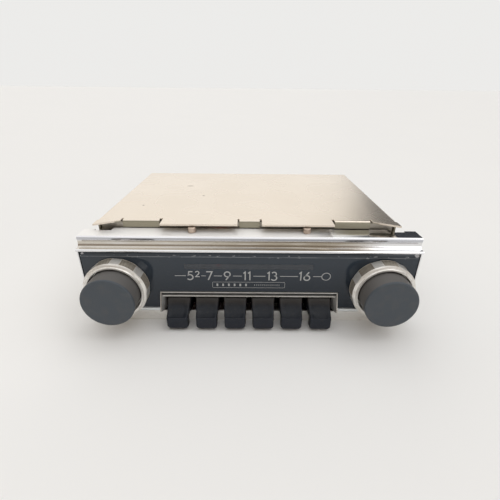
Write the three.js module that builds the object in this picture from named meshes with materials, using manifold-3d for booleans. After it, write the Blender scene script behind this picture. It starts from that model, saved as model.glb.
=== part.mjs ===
// Car radio with two control spindles, a printed dial and six push keys.
// The case is X-centred on its chrome trim. While the parts are built, Y = 0 is the front face of the
// dial glass and Z = 0 is the underside. Units are millimetres, +Z is up and the front faces -Y.
import * as THREE from 'three';
import { mergeVertices } from 'three/addons/utils/BufferGeometryUtils.js';
import Module from 'manifold-3d';

const wasm = await Module();
wasm.setup();

// ---- driving dimensions -------------------------------------------------------------------------
const SHEET = 1.0; // sheet steel of the case
const GAP = 0.3; // clearance between pieces that touch
const TRIM_HALF = 89.0; // half width of the chrome trim
const TRIM_TOP = 50.8; // upper face of the trim's flange
const TRIM_REAR = 14.2; // rear edge of the trim's flange
const RAIL_BOTTOM = 6.9; // underside of the trim's bottom rail
const GLASS_BOTTOM = 9.0;
const GLASS_TOP = 43.3;
const GLASS_THICK = 3.0;
const AXIS_X = 70.4; // half the spacing of the two spindles
const AXIS_Z = 23.3; // height of the two spindles
const KNOB_FACE = -18.0;
const KNOB_RADIUS = 13.4;
const NUT_RADIUS = 16.5;
const SPINDLE_RADIUS = 3.0;
const KEY_COUNT = 6;
const KEY_PITCH = 15.35;
const KEYS_X = -0.35; // centre of the key row, a little off the trim's centre
const KEY_ROOT_WIDTH = 12.4;
const KEY_NOSE_WIDTH = 11.0;
const SLIDE_Z = 11.25; // centre height of the key slides
const CASE_X = -1.5; // centre of the sheet-steel case, a little off the trim's centre
const CASE_HALF = 80.7;
const CASE_FRONT = 14.2;
const CASE_BACK = 122.4;
const CASE_TOP = 55.2;
const FLANGE_DEPTH = 7.0; // height of the covers' turned edges
const POINTER_X = -17.4; // where the dial pointer stands
const CORD_Y = 22.0; // plane of the dial cord
const STUD_TIP = 138.0;
const ORIGIN_Y = (KNOB_FACE + STUD_TIP) / 2; // the origin is midway between knob face and stud tip

const CASE_LEFT = CASE_X - CASE_HALF;
const CASE_RIGHT = CASE_X + CASE_HALF;
const WALL_FRONT = CASE_FRONT + SHEET + GAP; // front wall of the chassis, behind the cover's tabs
const WALL_BACK = CASE_BACK - SHEET - GAP;

// ---- finishes -----------------------------------------------------------------------------------
function finish(color, roughness, metalness) {
  return new THREE.MeshStandardMaterial({ color, roughness, metalness });
}
const PLATED = finish(0xd9ccbc, 0.45, 0.6);
const CHROME = finish(0xd8d8da, 0.12, 1.0);
const SMOKED = finish(0x2c3238, 0.08, 0.0);
const RUBBER = finish(0x3c4247, 0.7, 0.0);
const KEY_PLASTIC = finish(0x25282c, 0.4, 0.0);
const STEEL = finish(0x9a9a98, 0.35, 0.9);
const BRASS = finish(0xb59a6a, 0.35, 0.9);
const BLACK_PLASTIC = finish(0x1c1c1c, 0.5, 0.0);
const RED_PLASTIC = finish(0xb03028, 0.4, 0.0);
const WHITE_PAINT = finish(0xe8e6df, 0.6, 0.0);
const LAMP_GLASS = finish(0xf2e6c0, 0.1, 0.0);
const CORD_FIBRE = finish(0xc9bfa5, 0.9, 0.0);
const BOARD = finish(0x8a6a3a, 0.6, 0.0);
const ALUMINIUM = finish(0xb8babd, 0.4, 0.9);
const WINDING = finish(0x8c4a22, 0.5, 0.3);
const FERRITE = finish(0x3a3634, 0.6, 0.1);

// ---- solid helpers ------------------------------------------------------------------------------
const radio = new THREE.Group();
radio.position.y = -ORIGIN_Y;

function signedVolume(geometry) {
  const p = geometry.attributes.position;
  const index = geometry.index;
  const a = new THREE.Vector3();
  const b = new THREE.Vector3();
  const c = new THREE.Vector3();
  let total = 0;
  for (let i = 0; i < index.count; i += 3) {
    a.fromBufferAttribute(p, index.getX(i));
    b.fromBufferAttribute(p, index.getX(i + 1));
    c.fromBufferAttribute(p, index.getX(i + 2));
    total += a.dot(b.cross(c));
  }
  return total / 6;
}

// A geometry with shared vertices merged and its faces turned outwards.
function closed(geometry) {
  const bare = geometry.clone();
  bare.deleteAttribute('normal');
  bare.deleteAttribute('uv');
  const merged = mergeVertices(bare, 1e-4);
  if (signedVolume(merged) < 0) {
    const corners = merged.index.array;
    for (let i = 0; i < corners.length; i += 3) {
      const first = corners[i];
      corners[i] = corners[i + 1];
      corners[i + 1] = first;
    }
  }
  return merged;
}

function toSolid(geometry) {
  const shape = closed(geometry);
  const mesh = new wasm.Mesh({
    numProp: 3,
    vertProperties: new Float32Array(shape.attributes.position.array),
    triVerts: new Uint32Array(shape.index.array),
  });
  mesh.merge();
  return new wasm.Manifold(mesh);
}

function toGeometry(solid) {
  const mesh = solid.getMesh();
  const geometry = new THREE.BufferGeometry();
  geometry.setAttribute('position', new THREE.BufferAttribute(new Float32Array(mesh.vertProperties), 3));
  geometry.setIndex(new THREE.BufferAttribute(new Uint32Array(mesh.triVerts), 1));
  return geometry;
}

function combine(operation, first, others) {
  let solid = toSolid(first);
  for (const other of others) {
    solid = solid[operation](toSolid(other));
  }
  return toGeometry(solid);
}

function cut(first, ...others) {
  return combine('subtract', first, others);
}

function join(first, ...others) {
  return combine('add', first, others);
}

function common(first, ...others) {
  return combine('intersect', first, others);
}

function box(x0, x1, y0, y1, z0, z1) {
  const geometry = new THREE.BoxGeometry(x1 - x0, y1 - y0, z1 - z0);
  return geometry.translate((x0 + x1) / 2, (y0 + y1) / 2, (z0 + z1) / 2);
}

function outline(points) {
  return new THREE.Shape(points.map(([u, v]) => new THREE.Vector2(u, v)));
}

function extrude(shape, depth, curveSegments = 12) {
  return new THREE.ExtrudeGeometry(shape, { depth, bevelEnabled: false, curveSegments });
}

// A [y, z] outline carried along X.
function alongX(points, x0, x1) {
  const turn = new THREE.Matrix4().set(0, 0, 1, x0, 1, 0, 0, 0, 0, 1, 0, 0, 0, 0, 0, 1);
  return extrude(outline(points), x1 - x0).applyMatrix4(turn);
}

// An [x, z] outline, or a ready shape, carried along Y.
function alongY(points, y0, y1, curveSegments) {
  const shape = Array.isArray(points) ? outline(points) : points;
  return extrude(shape, y1 - y0, curveSegments).rotateX(Math.PI / 2).translate(0, y1, 0);
}

// An [x, y] outline carried along Z.
function alongZ(points, z0, z1) {
  return extrude(outline(points), z1 - z0).translate(0, 0, z0);
}

// A [radius, y] outline turned about an axis parallel to Y.
function turned(points, x, z, segments = 32) {
  const profile = points.map(([r, y]) => new THREE.Vector2(r, y));
  return new THREE.LatheGeometry(profile, segments).translate(x, 0, z);
}

function rod(radius, y0, y1, x, z, segments = 24) {
  return turned([[0, y0], [radius, y0], [radius, y1], [0, y1]], x, z, segments);
}

function rodAlongX(radius, x0, x1, y, z, segments = 16) {
  return rod(radius, x0, x1, 0, 0, segments).rotateZ(-Math.PI / 2).translate(0, y, z);
}

function rodAlongZ(radius, z0, z1, x, y, segments = 20) {
  return rod(radius, z0, z1, 0, 0, segments).rotateX(Math.PI / 2).translate(x, y, 0);
}

function addPart(name, geometry, material) {
  const mesh = new THREE.Mesh(closed(geometry), material);
  mesh.name = name;
  radio.add(mesh);
}

// ---- case ---------------------------------------------------------------------------------------
const CHASSIS_LOW = SHEET + GAP;
const CHASSIS_HIGH = CASE_TOP - SHEET - GAP;
const CHASSIS_LEFT = CASE_LEFT + SHEET + GAP;
const CHASSIS_RIGHT = CASE_RIGHT - SHEET - GAP;
const BUSHING_HOLE = 5.4;
const SLIDE_HALF_WIDTH = 3.0;
const SLIDE_HALF_HEIGHT = 0.75;
const SLOT_MARGIN = 0.4;
const POINTER_SLOT = { half: 38, low: 44.4, high: 47.2 };
const PULLEYS = [
  { name: 'pulley_left', x: -46, z: 39.6 },
  { name: 'pulley_right', x: 58, z: 39.6 },
];
const SOCKETS = { antenna: { x: -62, z: 30 }, power: { x: -34, z: 30 } };
const STUD = { x: 58, z: 27, radius: 2.5 };

function keyCentre(index) {
  return KEYS_X + (index - (KEY_COUNT - 1) / 2) * KEY_PITCH;
}

function keyIndexes() {
  return Array.from({ length: KEY_COUNT }, (_, index) => index);
}

function slideSlot(index, y0, y1) {
  const x = keyCentre(index);
  const halfWidth = SLIDE_HALF_WIDTH + SLOT_MARGIN;
  const halfHeight = SLIDE_HALF_HEIGHT + SLOT_MARGIN;
  return box(x - halfWidth, x + halfWidth, y0, y1, SLIDE_Z - halfHeight, SLIDE_Z + halfHeight);
}

function chassisFrame() {
  const walls = cut(
    box(CHASSIS_LEFT, CHASSIS_RIGHT, WALL_FRONT, WALL_BACK, CHASSIS_LOW, CHASSIS_HIGH),
    box(CHASSIS_LEFT + SHEET, CHASSIS_RIGHT - SHEET, WALL_FRONT + SHEET, WALL_BACK - SHEET, 0, CASE_TOP),
  );
  const through = [WALL_FRONT - 1, WALL_FRONT + SHEET + 1];
  const holes = [
    rod(BUSHING_HOLE, ...through, -AXIS_X, AXIS_Z),
    rod(BUSHING_HOLE, ...through, AXIS_X, AXIS_Z),
    box(-POINTER_SLOT.half, POINTER_SLOT.half, ...through, POINTER_SLOT.low, POINTER_SLOT.high),
    ...keyIndexes().map((index) => slideSlot(index, ...through)),
    rod(5.3, WALL_BACK - 3, WALL_BACK + 1, SOCKETS.antenna.x, SOCKETS.antenna.z),
    box(SOCKETS.power.x - 11.3, SOCKETS.power.x + 11.3, WALL_BACK - 3, WALL_BACK + 1,
      SOCKETS.power.z - 7.3, SOCKETS.power.z + 7.3),
    rod(STUD.radius + GAP, WALL_BACK - 3, WALL_BACK + 1, STUD.x, STUD.z),
  ];
  // Side cheeks that reach forward under the trim's flange.
  const cheekFront = 4.3;
  const cheeks = [CHASSIS_LEFT, CHASSIS_RIGHT - SHEET].map(
    (x) => box(x, x + SHEET, cheekFront, WALL_FRONT + SHEET, CHASSIS_LOW, TRIM_TOP - 1.5),
  );
  const rivets = PULLEYS.map(({ x, z }) => rod(1.0, WALL_FRONT + 0.5, CORD_Y + 2, x, z, 12));
  return join(cut(walls, ...holes), ...cheeks, ...rivets);
}
addPart('chassis_frame', chassisFrame(), PLATED);

// The lid's front edge: pointed ears at the corners, two forward tongues, and three short recesses
// whose sheet is turned down as tabs.
const LID = {
  earTip: 8.0,
  tongueFront: 8.8,
  leftEarEnd: -69.6,
  leftTab: [-68.8, -49.0],
  leftTongue: [-47.6, -6.8],
  middleTab: [-6.0, 5.2],
  rightTongue: [6.1, 44.4],
  rightTab: [45.6, 65.0],
  rightEarEnd: 65.9,
};

function topCover() {
  const edge = [
    [CASE_LEFT, LID.earTip],
    [LID.leftEarEnd, CASE_FRONT],
    [LID.leftTongue[0], CASE_FRONT],
    [LID.leftTongue[0], LID.tongueFront],
    [LID.leftTongue[1], LID.tongueFront],
    [LID.leftTongue[1], CASE_FRONT],
    [LID.rightTongue[0], CASE_FRONT],
    [LID.rightTongue[0], LID.tongueFront],
    [LID.rightTongue[1], LID.tongueFront],
    [LID.rightTongue[1], CASE_FRONT],
    [LID.rightEarEnd, CASE_FRONT],
    [CASE_RIGHT, LID.earTip],
    [CASE_RIGHT, CASE_BACK],
    [CASE_LEFT, CASE_BACK],
  ];
  const top = CASE_TOP;
  const under = CASE_TOP - SHEET;
  const low = CASE_TOP - FLANGE_DEPTH;
  const tabLow = TRIM_TOP + GAP;
  const tab = ([x0, x1]) => box(x0, x1, CASE_FRONT, CASE_FRONT + SHEET, tabLow, top);
  return join(
    alongZ(edge, under, top),
    box(CASE_LEFT, CASE_LEFT + SHEET, CASE_FRONT, CASE_BACK, low, top),
    box(CASE_RIGHT - SHEET, CASE_RIGHT, CASE_FRONT, CASE_BACK, low, top),
    box(CASE_LEFT, CASE_RIGHT, CASE_BACK - SHEET, CASE_BACK, low, top),
    tab(LID.leftTab),
    tab(LID.middleTab),
    tab(LID.rightTab),
  );
}
addPart('top_cover', topCover(), PLATED);

const STRIP_FRONT = 0.3; // front lip of the bottom cover, under the trim
const STRIP_TOP = 6.3;

function bottomCover() {
  const high = FLANGE_DEPTH;
  return join(
    box(CASE_LEFT, CASE_RIGHT, STRIP_FRONT, CASE_BACK, 0, SHEET),
    box(CASE_LEFT, CASE_RIGHT, STRIP_FRONT, STRIP_FRONT + SHEET, 0, STRIP_TOP),
    box(CASE_LEFT, CASE_LEFT + SHEET, STRIP_FRONT, CASE_FRONT, 0, STRIP_TOP),
    box(CASE_RIGHT - SHEET, CASE_RIGHT, STRIP_FRONT, CASE_FRONT, 0, STRIP_TOP),
    box(CASE_LEFT, CASE_LEFT + SHEET, CASE_FRONT, CASE_BACK, 0, high),
    box(CASE_RIGHT - SHEET, CASE_RIGHT, CASE_FRONT, CASE_BACK, 0, high),
    box(CASE_LEFT, CASE_RIGHT, CASE_BACK - SHEET, CASE_BACK, 0, high),
  );
}
addPart('bottom_cover', bottomCover(), PLATED);

// ---- chrome trim --------------------------------------------------------------------------------
const RAIL_TOP = 8.6;
const SIDE_WALL = 1.7; // side walls behind the dial glass
const SIDE_EDGE = 0.6; // their thinner edge beside the glass
const SIDE_DEPTH = 12.0;
const BEZEL_HALF = 48.5;
const LIP_BOTTOM = 43.6;

function trimFrame() {
  // Open channel: flange, slightly hollow web and a lip that stands forward over the glass.
  const channel = [
    [TRIM_REAR, TRIM_TOP],
    [3.0, TRIM_TOP],
    [2.2, 50.2],
    [2.7, 47.6],
    [2.2, 45.4],
    [1.6, 44.9],
    [-0.8, 44.9],
    [-1.45, 44.4],
    [-1.45, 43.9],
    [-1.1, LIP_BOTTOM],
    [4.0, LIP_BOTTOM],
    [4.0, 49.6],
    [TRIM_REAR, 49.6],
  ];
  const pieces = [];
  for (const side of [-1, 1]) {
    const fromEnd = (inner, ...rest) => {
      const [x0, x1] = [inner * side, TRIM_HALF * side].sort((a, b) => a - b);
      pieces.push(box(x0, x1, ...rest));
    };
    fromEnd(TRIM_HALF - SIDE_EDGE, -0.3, SIDE_DEPTH, RAIL_BOTTOM, TRIM_TOP - 0.8);
    fromEnd(TRIM_HALF - SIDE_WALL, GLASS_THICK + GAP, SIDE_DEPTH, RAIL_BOTTOM, TRIM_TOP - 0.8);
    fromEnd(BEZEL_HALF + 2 * GAP + KEYS_X * side, -0.8, GLASS_THICK, RAIL_BOTTOM, RAIL_TOP);
  }
  // The flange steps forward near its ends. The side walls stay behind the web line.
  const steps = [];
  for (const side of [-1, 1]) {
    const [near, middle, far] = [74 * side, 83 * side, 90 * side];
    steps.push(box(Math.min(near, middle), Math.max(near, middle), 10.5, 20, 49, 52));
    steps.push(box(Math.min(middle, far), Math.max(middle, far), SIDE_DEPTH, 20, 49, 52));
  }
  const clearFront = [[-2, 45.0], [1.5, 45.0], [2.2, 45.4], [2.7, 47.6], [2.2, 50.2], [2.2, 52], [-2, 52]];
  const sideCut = alongX(clearFront, -TRIM_HALF - 1, TRIM_HALF + 1);
  const nutSeats = [-AXIS_X, AXIS_X].map((x) => rod(NUT_RADIUS + GAP, -2, 0, x, AXIS_Z, 48));
  const body = join(alongX(channel, -TRIM_HALF, TRIM_HALF), ...pieces);
  return cut(body, sideCut, ...steps, ...nutSeats);
}
addPart('trim_frame', trimFrame(), CHROME);

const TRIM_SCREW = { y: 8.8, radius: 2.05, head: 2.7 };

function trimScrew(x) {
  const base = TRIM_TOP + GAP;
  const top = base + TRIM_SCREW.head;
  const { radius, y } = TRIM_SCREW;
  const profile = [[0, base], [radius, base], [radius, top - 0.3], [radius - 0.3, top], [0, top]];
  const head = turned(profile, 0, 0, 24).rotateX(Math.PI / 2).translate(x, y, 0);
  return cut(head, box(x - 3, x + 3, y - 0.3, y + 0.3, top - 0.9, top + 1));
}
addPart('trim_screw_left', trimScrew(-30.8), BRASS);
addPart('trim_screw_right', trimScrew(29.9), BRASS);

// ---- dial glass and key bezel -------------------------------------------------------------------
const BEZEL_TOP = 19.1;
const BEZEL_INNER_HALF = 45.9;
const BEZEL_INNER_TOP = 16.4;

function aroundKeys(half, ...rest) {
  return box(KEYS_X - half, KEYS_X + half, ...rest);
}

function dialGlass() {
  const profile = [
    [0, GLASS_BOTTOM],
    [0, 40.5],
    [0.9, GLASS_TOP],
    [GLASS_THICK, GLASS_TOP],
    [GLASS_THICK, GLASS_BOTTOM],
  ];
  const half = TRIM_HALF - SIDE_EDGE - GAP;
  const notch = aroundKeys(BEZEL_HALF + GAP, -1, 4, 0, BEZEL_TOP + GAP);
  const holes = [-AXIS_X, AXIS_X].map((x) => rod(5.6, -1, 4, x, AXIS_Z));
  return cut(alongX(profile, -half, half), notch, ...holes);
}
addPart('dial_glass', dialGlass(), SMOKED);

function keyBezel() {
  // Flush with the glass at the top; its cheeks stand forward towards the bottom.
  const cheek = [
    [GLASS_THICK, BEZEL_TOP],
    [-0.5, BEZEL_TOP],
    [-0.9, 18.5],
    [-4.9, 9.4],
    [-4.5, 8.6],
    [GLASS_THICK, 8.6],
  ];
  return cut(
    alongX(cheek, KEYS_X - BEZEL_HALF, KEYS_X + BEZEL_HALF),
    aroundKeys(BEZEL_INNER_HALF, -10, 10, 0, BEZEL_INNER_TOP),
  );
}
addPart('key_bezel', keyBezel(), CHROME);

// ---- keys ---------------------------------------------------------------------------------------
const KEY_REAR = 4.0;
const KEY_FRONT = -9.9;
const OUTER_KEY_LEAN = 0.35;
const SLIDE_REAR = 41.0;
const COLLAR = { front: 17.0, rear: 18.2, halfWidth: 4.6, low: 7.0, high: 15.5 };

// The two outer keys lean outwards at the nose.
function key(x) {
  const lean = Math.abs(x) > 2 * KEY_PITCH ? OUTER_KEY_LEAN * Math.sign(x) : 0;
  const side = [
    [KEY_REAR, 16.0],
    [0.4, 15.9],
    [-1.3, 15.0],
    [-3.6, 12.4],
    [-6.2, 10.3],
    [-8.9, 9.1],
    [KEY_FRONT, 8.5],
    [KEY_FRONT, 2.4],
    [-9.0, 1.1],
    [-6.4, 1.0],
    [-5.8, 1.8],
    [-5.6, 7.6],
    [KEY_REAR, 7.6],
  ];
  const plan = [
    [lean - KEY_NOSE_WIDTH / 2, KEY_FRONT - 1],
    [lean + KEY_NOSE_WIDTH / 2, KEY_FRONT - 1],
    [KEY_ROOT_WIDTH / 2, KEY_REAR + 1],
    [-KEY_ROOT_WIDTH / 2, KEY_REAR + 1],
  ];
  return common(
    alongX(side, -KEY_ROOT_WIDTH, KEY_ROOT_WIDTH),
    alongZ(plan, 0, 20),
  ).translate(x, 0, 0);
}

function keySlide(x) {
  const bar = [SLIDE_Z - SLIDE_HALF_HEIGHT, SLIDE_Z + SLIDE_HALF_HEIGHT];
  return join(
    box(x - SLIDE_HALF_WIDTH, x + SLIDE_HALF_WIDTH, KEY_REAR + GAP, SLIDE_REAR, ...bar),
    box(x - COLLAR.halfWidth, x + COLLAR.halfWidth, COLLAR.front, COLLAR.rear, COLLAR.low, COLLAR.high),
  );
}

for (const index of keyIndexes()) {
  addPart(`key_${index + 1}`, key(keyCentre(index)), KEY_PLASTIC);
  addPart(`key_slide_${index + 1}`, keySlide(keyCentre(index)), STEEL);
}

const KEY_FRAME_Y = 31.0;
const KEY_FRAME_HALF = 49.0;
const KEY_FRAME_LOW = 3.0;
const KEY_FRAME_HIGH = 18.0;

function keyFrame() {
  const front = WALL_FRONT + SHEET + GAP;
  const rear = KEY_FRAME_Y + SHEET;
  const height = [KEY_FRAME_LOW, KEY_FRAME_HIGH];
  const plate = cut(
    box(-KEY_FRAME_HALF, KEY_FRAME_HALF, KEY_FRAME_Y, rear, ...height),
    ...keyIndexes().map((index) => slideSlot(index, KEY_FRAME_Y - 1, rear + 1)),
  );
  return join(
    plate,
    box(-KEY_FRAME_HALF, -KEY_FRAME_HALF + SHEET, front, rear, ...height),
    box(KEY_FRAME_HALF - SHEET, KEY_FRAME_HALF, front, rear, ...height),
  );
}
addPart('key_frame', keyFrame(), STEEL);

// One comb of spring steel: a back strip on the key frame, and a bowed finger behind each collar.
function returnSpring() {
  const thick = 0.5;
  const back = KEY_FRAME_Y - GAP;
  const tip = COLLAR.rear + GAP;
  const bow = [
    [back, 16.9],
    [25.8, 16.7],
    [21.3, 15.4],
    [tip, 13.3],
    [tip, 12.7],
    [21.6, 14.8],
    [26.0, 16.1],
    [back, 16.3],
  ];
  const strip = box(-KEY_FRAME_HALF + 2, KEY_FRAME_HALF - 2, back - thick, back, 15.5, 17.6);
  const fingers = keyIndexes().map((index) => alongX(bow, keyCentre(index) - 2.5, keyCentre(index) + 2.5));
  return join(strip, ...fingers);
}
addPart('return_spring', returnSpring(), STEEL);

// ---- knobs, nuts, bushings and spindles ---------------------------------------------------------
const SPINDLE_TIP = -14.5;
const SPINDLE_BORE = SPINDLE_RADIUS + GAP;
const KNOB_REAR = -3.6;
const NUT_FRONT = -8.4;

function knob(x) {
  const profile = [
    [0, KNOB_FACE],
    [KNOB_RADIUS - 0.7, KNOB_FACE],
    [KNOB_RADIUS, KNOB_FACE + 0.7],
    [KNOB_RADIUS - 0.3, KNOB_REAR],
    [SPINDLE_BORE, KNOB_REAR],
    [SPINDLE_BORE, SPINDLE_TIP - GAP],
    [0, SPINDLE_TIP - GAP],
  ];
  return turned(profile, x, AXIS_Z, 48);
}

function bezelNut(x) {
  const profile = [
    [5.3, -GAP],
    [NUT_RADIUS, -GAP],
    [NUT_RADIUS, -5.5],
    [15.4, -6.8],
    [14.9, NUT_FRONT],
    [13.8, NUT_FRONT],
    [13.5, -3.0],
    [5.3, -3.0],
    [5.3, -GAP],
  ];
  return turned(profile, x, AXIS_Z, 48);
}

function bushing(x) {
  const wall = WALL_FRONT + SHEET + GAP;
  const profile = [
    [SPINDLE_RADIUS + 0.1, -2.7],
    [5.0, -2.7],
    [5.0, wall],
    [6.1, wall],
    [6.1, wall + 1.5],
    [SPINDLE_RADIUS + 0.1, wall + 1.5],
    [SPINDLE_RADIUS + 0.1, -2.7],
  ];
  return turned(profile, x, AXIS_Z, 24);
}

const SIDES = [['left', -AXIS_X], ['right', AXIS_X]];
for (const [side, x] of SIDES) {
  addPart(`${side}_knob`, knob(x), RUBBER);
  addPart(`${side}_nut`, bezelNut(x), CHROME);
  addPart(`${side}_bushing`, bushing(x), BRASS);
}

const POT = { front: 18.8, middle: 30, back: 38, radius: 7.5 };
const LEFT_SPINDLE_END = 25.5;
addPart('left_shaft', rod(SPINDLE_RADIUS, SPINDLE_TIP, LEFT_SPINDLE_END, -AXIS_X, AXIS_Z, 32), STEEL);

function volumeControl() {
  const body = turned([
    [0, LEFT_SPINDLE_END + GAP],
    [SPINDLE_BORE, LEFT_SPINDLE_END + GAP],
    [SPINDLE_BORE, POT.front],
    [POT.radius, POT.front],
    [POT.radius, POT.middle],
    [POT.radius - 0.8, POT.middle],
    [POT.radius - 0.8, POT.back],
    [0, POT.back],
  ], -AXIS_X, AXIS_Z, 32);
  const tags = [-4, 0, 4].map((x) => box(-AXIS_X + x - 0.8, -AXIS_X + x + 0.8, 21, 21.6, 12.5, 18));
  return join(body, ...tags);
}
addPart('volume_control', volumeControl(), BLACK_PLASTIC);

// The tuning spindle is waisted where the dial cord wraps round it.
const CORD_FLOOR = 2.7;
const RIGHT_SPINDLE_END = 40.0;
const SCREW_END = 84.0;
addPart('right_shaft', turned([
  [0, SPINDLE_TIP],
  [SPINDLE_RADIUS, SPINDLE_TIP],
  [SPINDLE_RADIUS, CORD_Y - 1],
  [CORD_FLOOR, CORD_Y - 0.7],
  [CORD_FLOOR, CORD_Y + 0.7],
  [SPINDLE_RADIUS, CORD_Y + 1],
  [SPINDLE_RADIUS, RIGHT_SPINDLE_END],
  [0, RIGHT_SPINDLE_END],
], AXIS_X, AXIS_Z, 32), STEEL);

// The screw's thread is shown by a few shallow grooves.
function leadScrew() {
  const start = RIGHT_SPINDLE_END + GAP;
  const profile = [[0, start], [SPINDLE_RADIUS, start]];
  for (const y of [48, 56, 64]) {
    profile.push([SPINDLE_RADIUS, y], [2.6, y + 0.6], [2.6, y + 1.8], [SPINDLE_RADIUS, y + 2.4]);
  }
  profile.push([SPINDLE_RADIUS, SCREW_END], [0, SCREW_END]);
  return turned(profile, AXIS_X, AXIS_Z, 16);
}
addPart('lead_screw', leadScrew(), BRASS);

function spindleBracket() {
  const y0 = 28.0;
  const front = WALL_FRONT + SHEET + GAP;
  const [x0, x1] = [62, CHASSIS_RIGHT - SHEET - GAP];
  return join(
    cut(box(x0, x1, y0, y0 + 1.2, 12, 34), rod(SPINDLE_RADIUS + 0.1, y0 - 1, y0 + 3, AXIS_X, AXIS_Z, 32)),
    box(x0, x1, front, y0 + 1.2, 12, 13.2),
  );
}
addPart('spindle_bracket', spindleBracket(), STEEL);

// ---- dial: pointer, rail, cord, pulleys, backplate and lamp -------------------------------------
const RAIL = { y: 19.4, z: 46.0, radius: 1.2, half: 43 };
const NEEDLE = { front: 6.2, back: 7.0, low: 31.4, half: 0.8 };

function pointerRail() {
  const wall = WALL_FRONT + SHEET + GAP;
  const leg = (x) => rod(RAIL.radius, wall, RAIL.y, x, RAIL.z, 16);
  return join(
    rodAlongX(RAIL.radius, -RAIL.half, RAIL.half, RAIL.y, RAIL.z),
    leg(-RAIL.half + RAIL.radius),
    leg(RAIL.half - RAIL.radius),
  );
}
addPart('pointer_rail', pointerRail(), STEEL);

function pointerCarriage() {
  const back = CORD_Y - 0.6;
  const block = join(
    box(POINTER_X - 4, POINTER_X + 4, 17.4, back, 43.8, 48.4),
    box(POINTER_X - 4, POINTER_X + 4, back - 0.6, back, 42.0, 44.0),
  );
  return cut(block, rodAlongX(RAIL.radius + GAP, POINTER_X - 6, POINTER_X + 6, RAIL.y, RAIL.z));
}
addPart('pointer_carriage', pointerCarriage(), BLACK_PLASTIC);

function dialPointer() {
  const [x0, x1] = [POINTER_X - NEEDLE.half, POINTER_X + NEEDLE.half];
  return join(
    box(x0, x1, NEEDLE.front, NEEDLE.back, NEEDLE.low, 46.4),
    box(x0, x1, NEEDLE.front, 17.4 - GAP, 45.4, 46.4),
  );
}
addPart('dial_pointer', dialPointer(), RED_PLASTIC);

// Outline that wraps equal circles at the given centres, in counter-clockwise order.
function wrap(target, centres, radius) {
  const count = centres.length;
  centres.forEach(([x, z], i) => {
    const [px, pz] = centres[(i + count - 1) % count];
    const [nx, nz] = centres[(i + 1) % count];
    const arrive = Math.atan2(z - pz, x - px) - Math.PI / 2;
    const leave = Math.atan2(nz - z, nx - x) - Math.PI / 2;
    target.absarc(x, z, radius, arrive, leave, false);
  });
  target.closePath();
  return target;
}

function dialCord() {
  const half = 0.3;
  const middle = CORD_FLOOR + GAP + half;
  const centres = [[AXIS_X, AXIS_Z], [PULLEYS[1].x, PULLEYS[1].z], [PULLEYS[0].x, PULLEYS[0].z]];
  const loop = wrap(new THREE.Shape(), centres, middle + half);
  loop.holes.push(wrap(new THREE.Path(), centres, middle - half));
  return alongY(loop, CORD_Y - half, CORD_Y + half, 6);
}
addPart('dial_cord', dialCord(), CORD_FIBRE);

for (const { name, x, z } of PULLEYS) {
  addPart(name, turned([
    [1.1, CORD_Y - 1.4],
    [4.2, CORD_Y - 1.4],
    [CORD_FLOOR, CORD_Y - 0.7],
    [CORD_FLOOR, CORD_Y + 0.7],
    [4.2, CORD_Y + 1.4],
    [1.1, CORD_Y + 1.4],
    [1.1, CORD_Y - 1.4],
  ], x, z, 24), BRASS);
}

addPart('dial_backplate', join(
  box(-44, 44, 9.0, 9.8, 21.0, 43.0),
  box(-44, -43, 9.0, WALL_FRONT - GAP, 21.0, 43.0),
  box(43, 44, 9.0, WALL_FRONT - GAP, 21.0, 43.0),
), WHITE_PAINT);

addPart('dial_lamp', turned([
  [0, 4.6],
  [2.0, 5.2],
  [3.0, 7.0],
  [2.8, 9.6],
  [2.3, 10.6],
  [4.0, 10.6],
  [4.0, WALL_FRONT - GAP],
  [0, WALL_FRONT - GAP],
], -52, 32, 20), LAMP_GLASS);

// ---- tuner: coils on a frame, and cores on a carriage that the lead screw moves -----------------
const COIL = { x: [22, 35, 48], z: 26, front: 78, back: 110.3, inner: 2.6, outer: 5.5 };
const CARRIAGE = { front: 69.4, back: 71.6 };
const CORE_END = 104;

addPart('tuner_frame', join(
  box(13, 57, 46, 112, 14, 15.2),
  box(13, 57, 46, 47.2, 14, 36),
  box(13, 57, 110.8, 112, 14, 36),
), STEEL);

COIL.x.forEach((x, i) => {
  addPart(`tuning_coil_${i + 1}`, turned([
    [COIL.inner, COIL.front],
    [4.2, COIL.front],
    [4.2, COIL.front + 4],
    [COIL.outer, COIL.front + 4],
    [COIL.outer, COIL.back - 4],
    [4.2, COIL.back - 4],
    [4.2, COIL.back],
    [COIL.inner, COIL.back],
    [COIL.inner, COIL.front],
  ], x, COIL.z, 16), WINDING);
});

function coreCarriage() {
  const plate = cut(
    box(17, 75.5, CARRIAGE.front, CARRIAGE.back, 18.3, 30),
    rod(SPINDLE_RADIUS + GAP, CARRIAGE.front - 1, CARRIAGE.back + 1, AXIS_X, AXIS_Z, 24),
  );
  const cores = COIL.x.map((x) => rod(2.1, CARRIAGE.back - 0.5, CORE_END, x, COIL.z, 16));
  return join(plate, ...cores);
}
addPart('core_carriage', coreCarriage(), FERRITE);

// ---- circuit ------------------------------------------------------------------------------------
const BOARD_TOP = 9.6;
const ON_BOARD = BOARD_TOP + GAP;
addPart('circuit_board', box(-76, 4, 44, 116, BOARD_TOP - 1.6, BOARD_TOP), BOARD);

[-60, -44].forEach((x, i) => {
  addPart(`if_can_${i + 1}`, cut(
    box(x - 5, x + 5, 52, 62, ON_BOARD, ON_BOARD + 14),
    rodAlongZ(1.6, ON_BOARD + 10, ON_BOARD + 16, x, 57, 12),
  ), ALUMINIUM);
});

addPart('filter_capacitor', rodAlongX(7.5, -70, -36, 80, ON_BOARD + 7.5, 28), ALUMINIUM);

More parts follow.
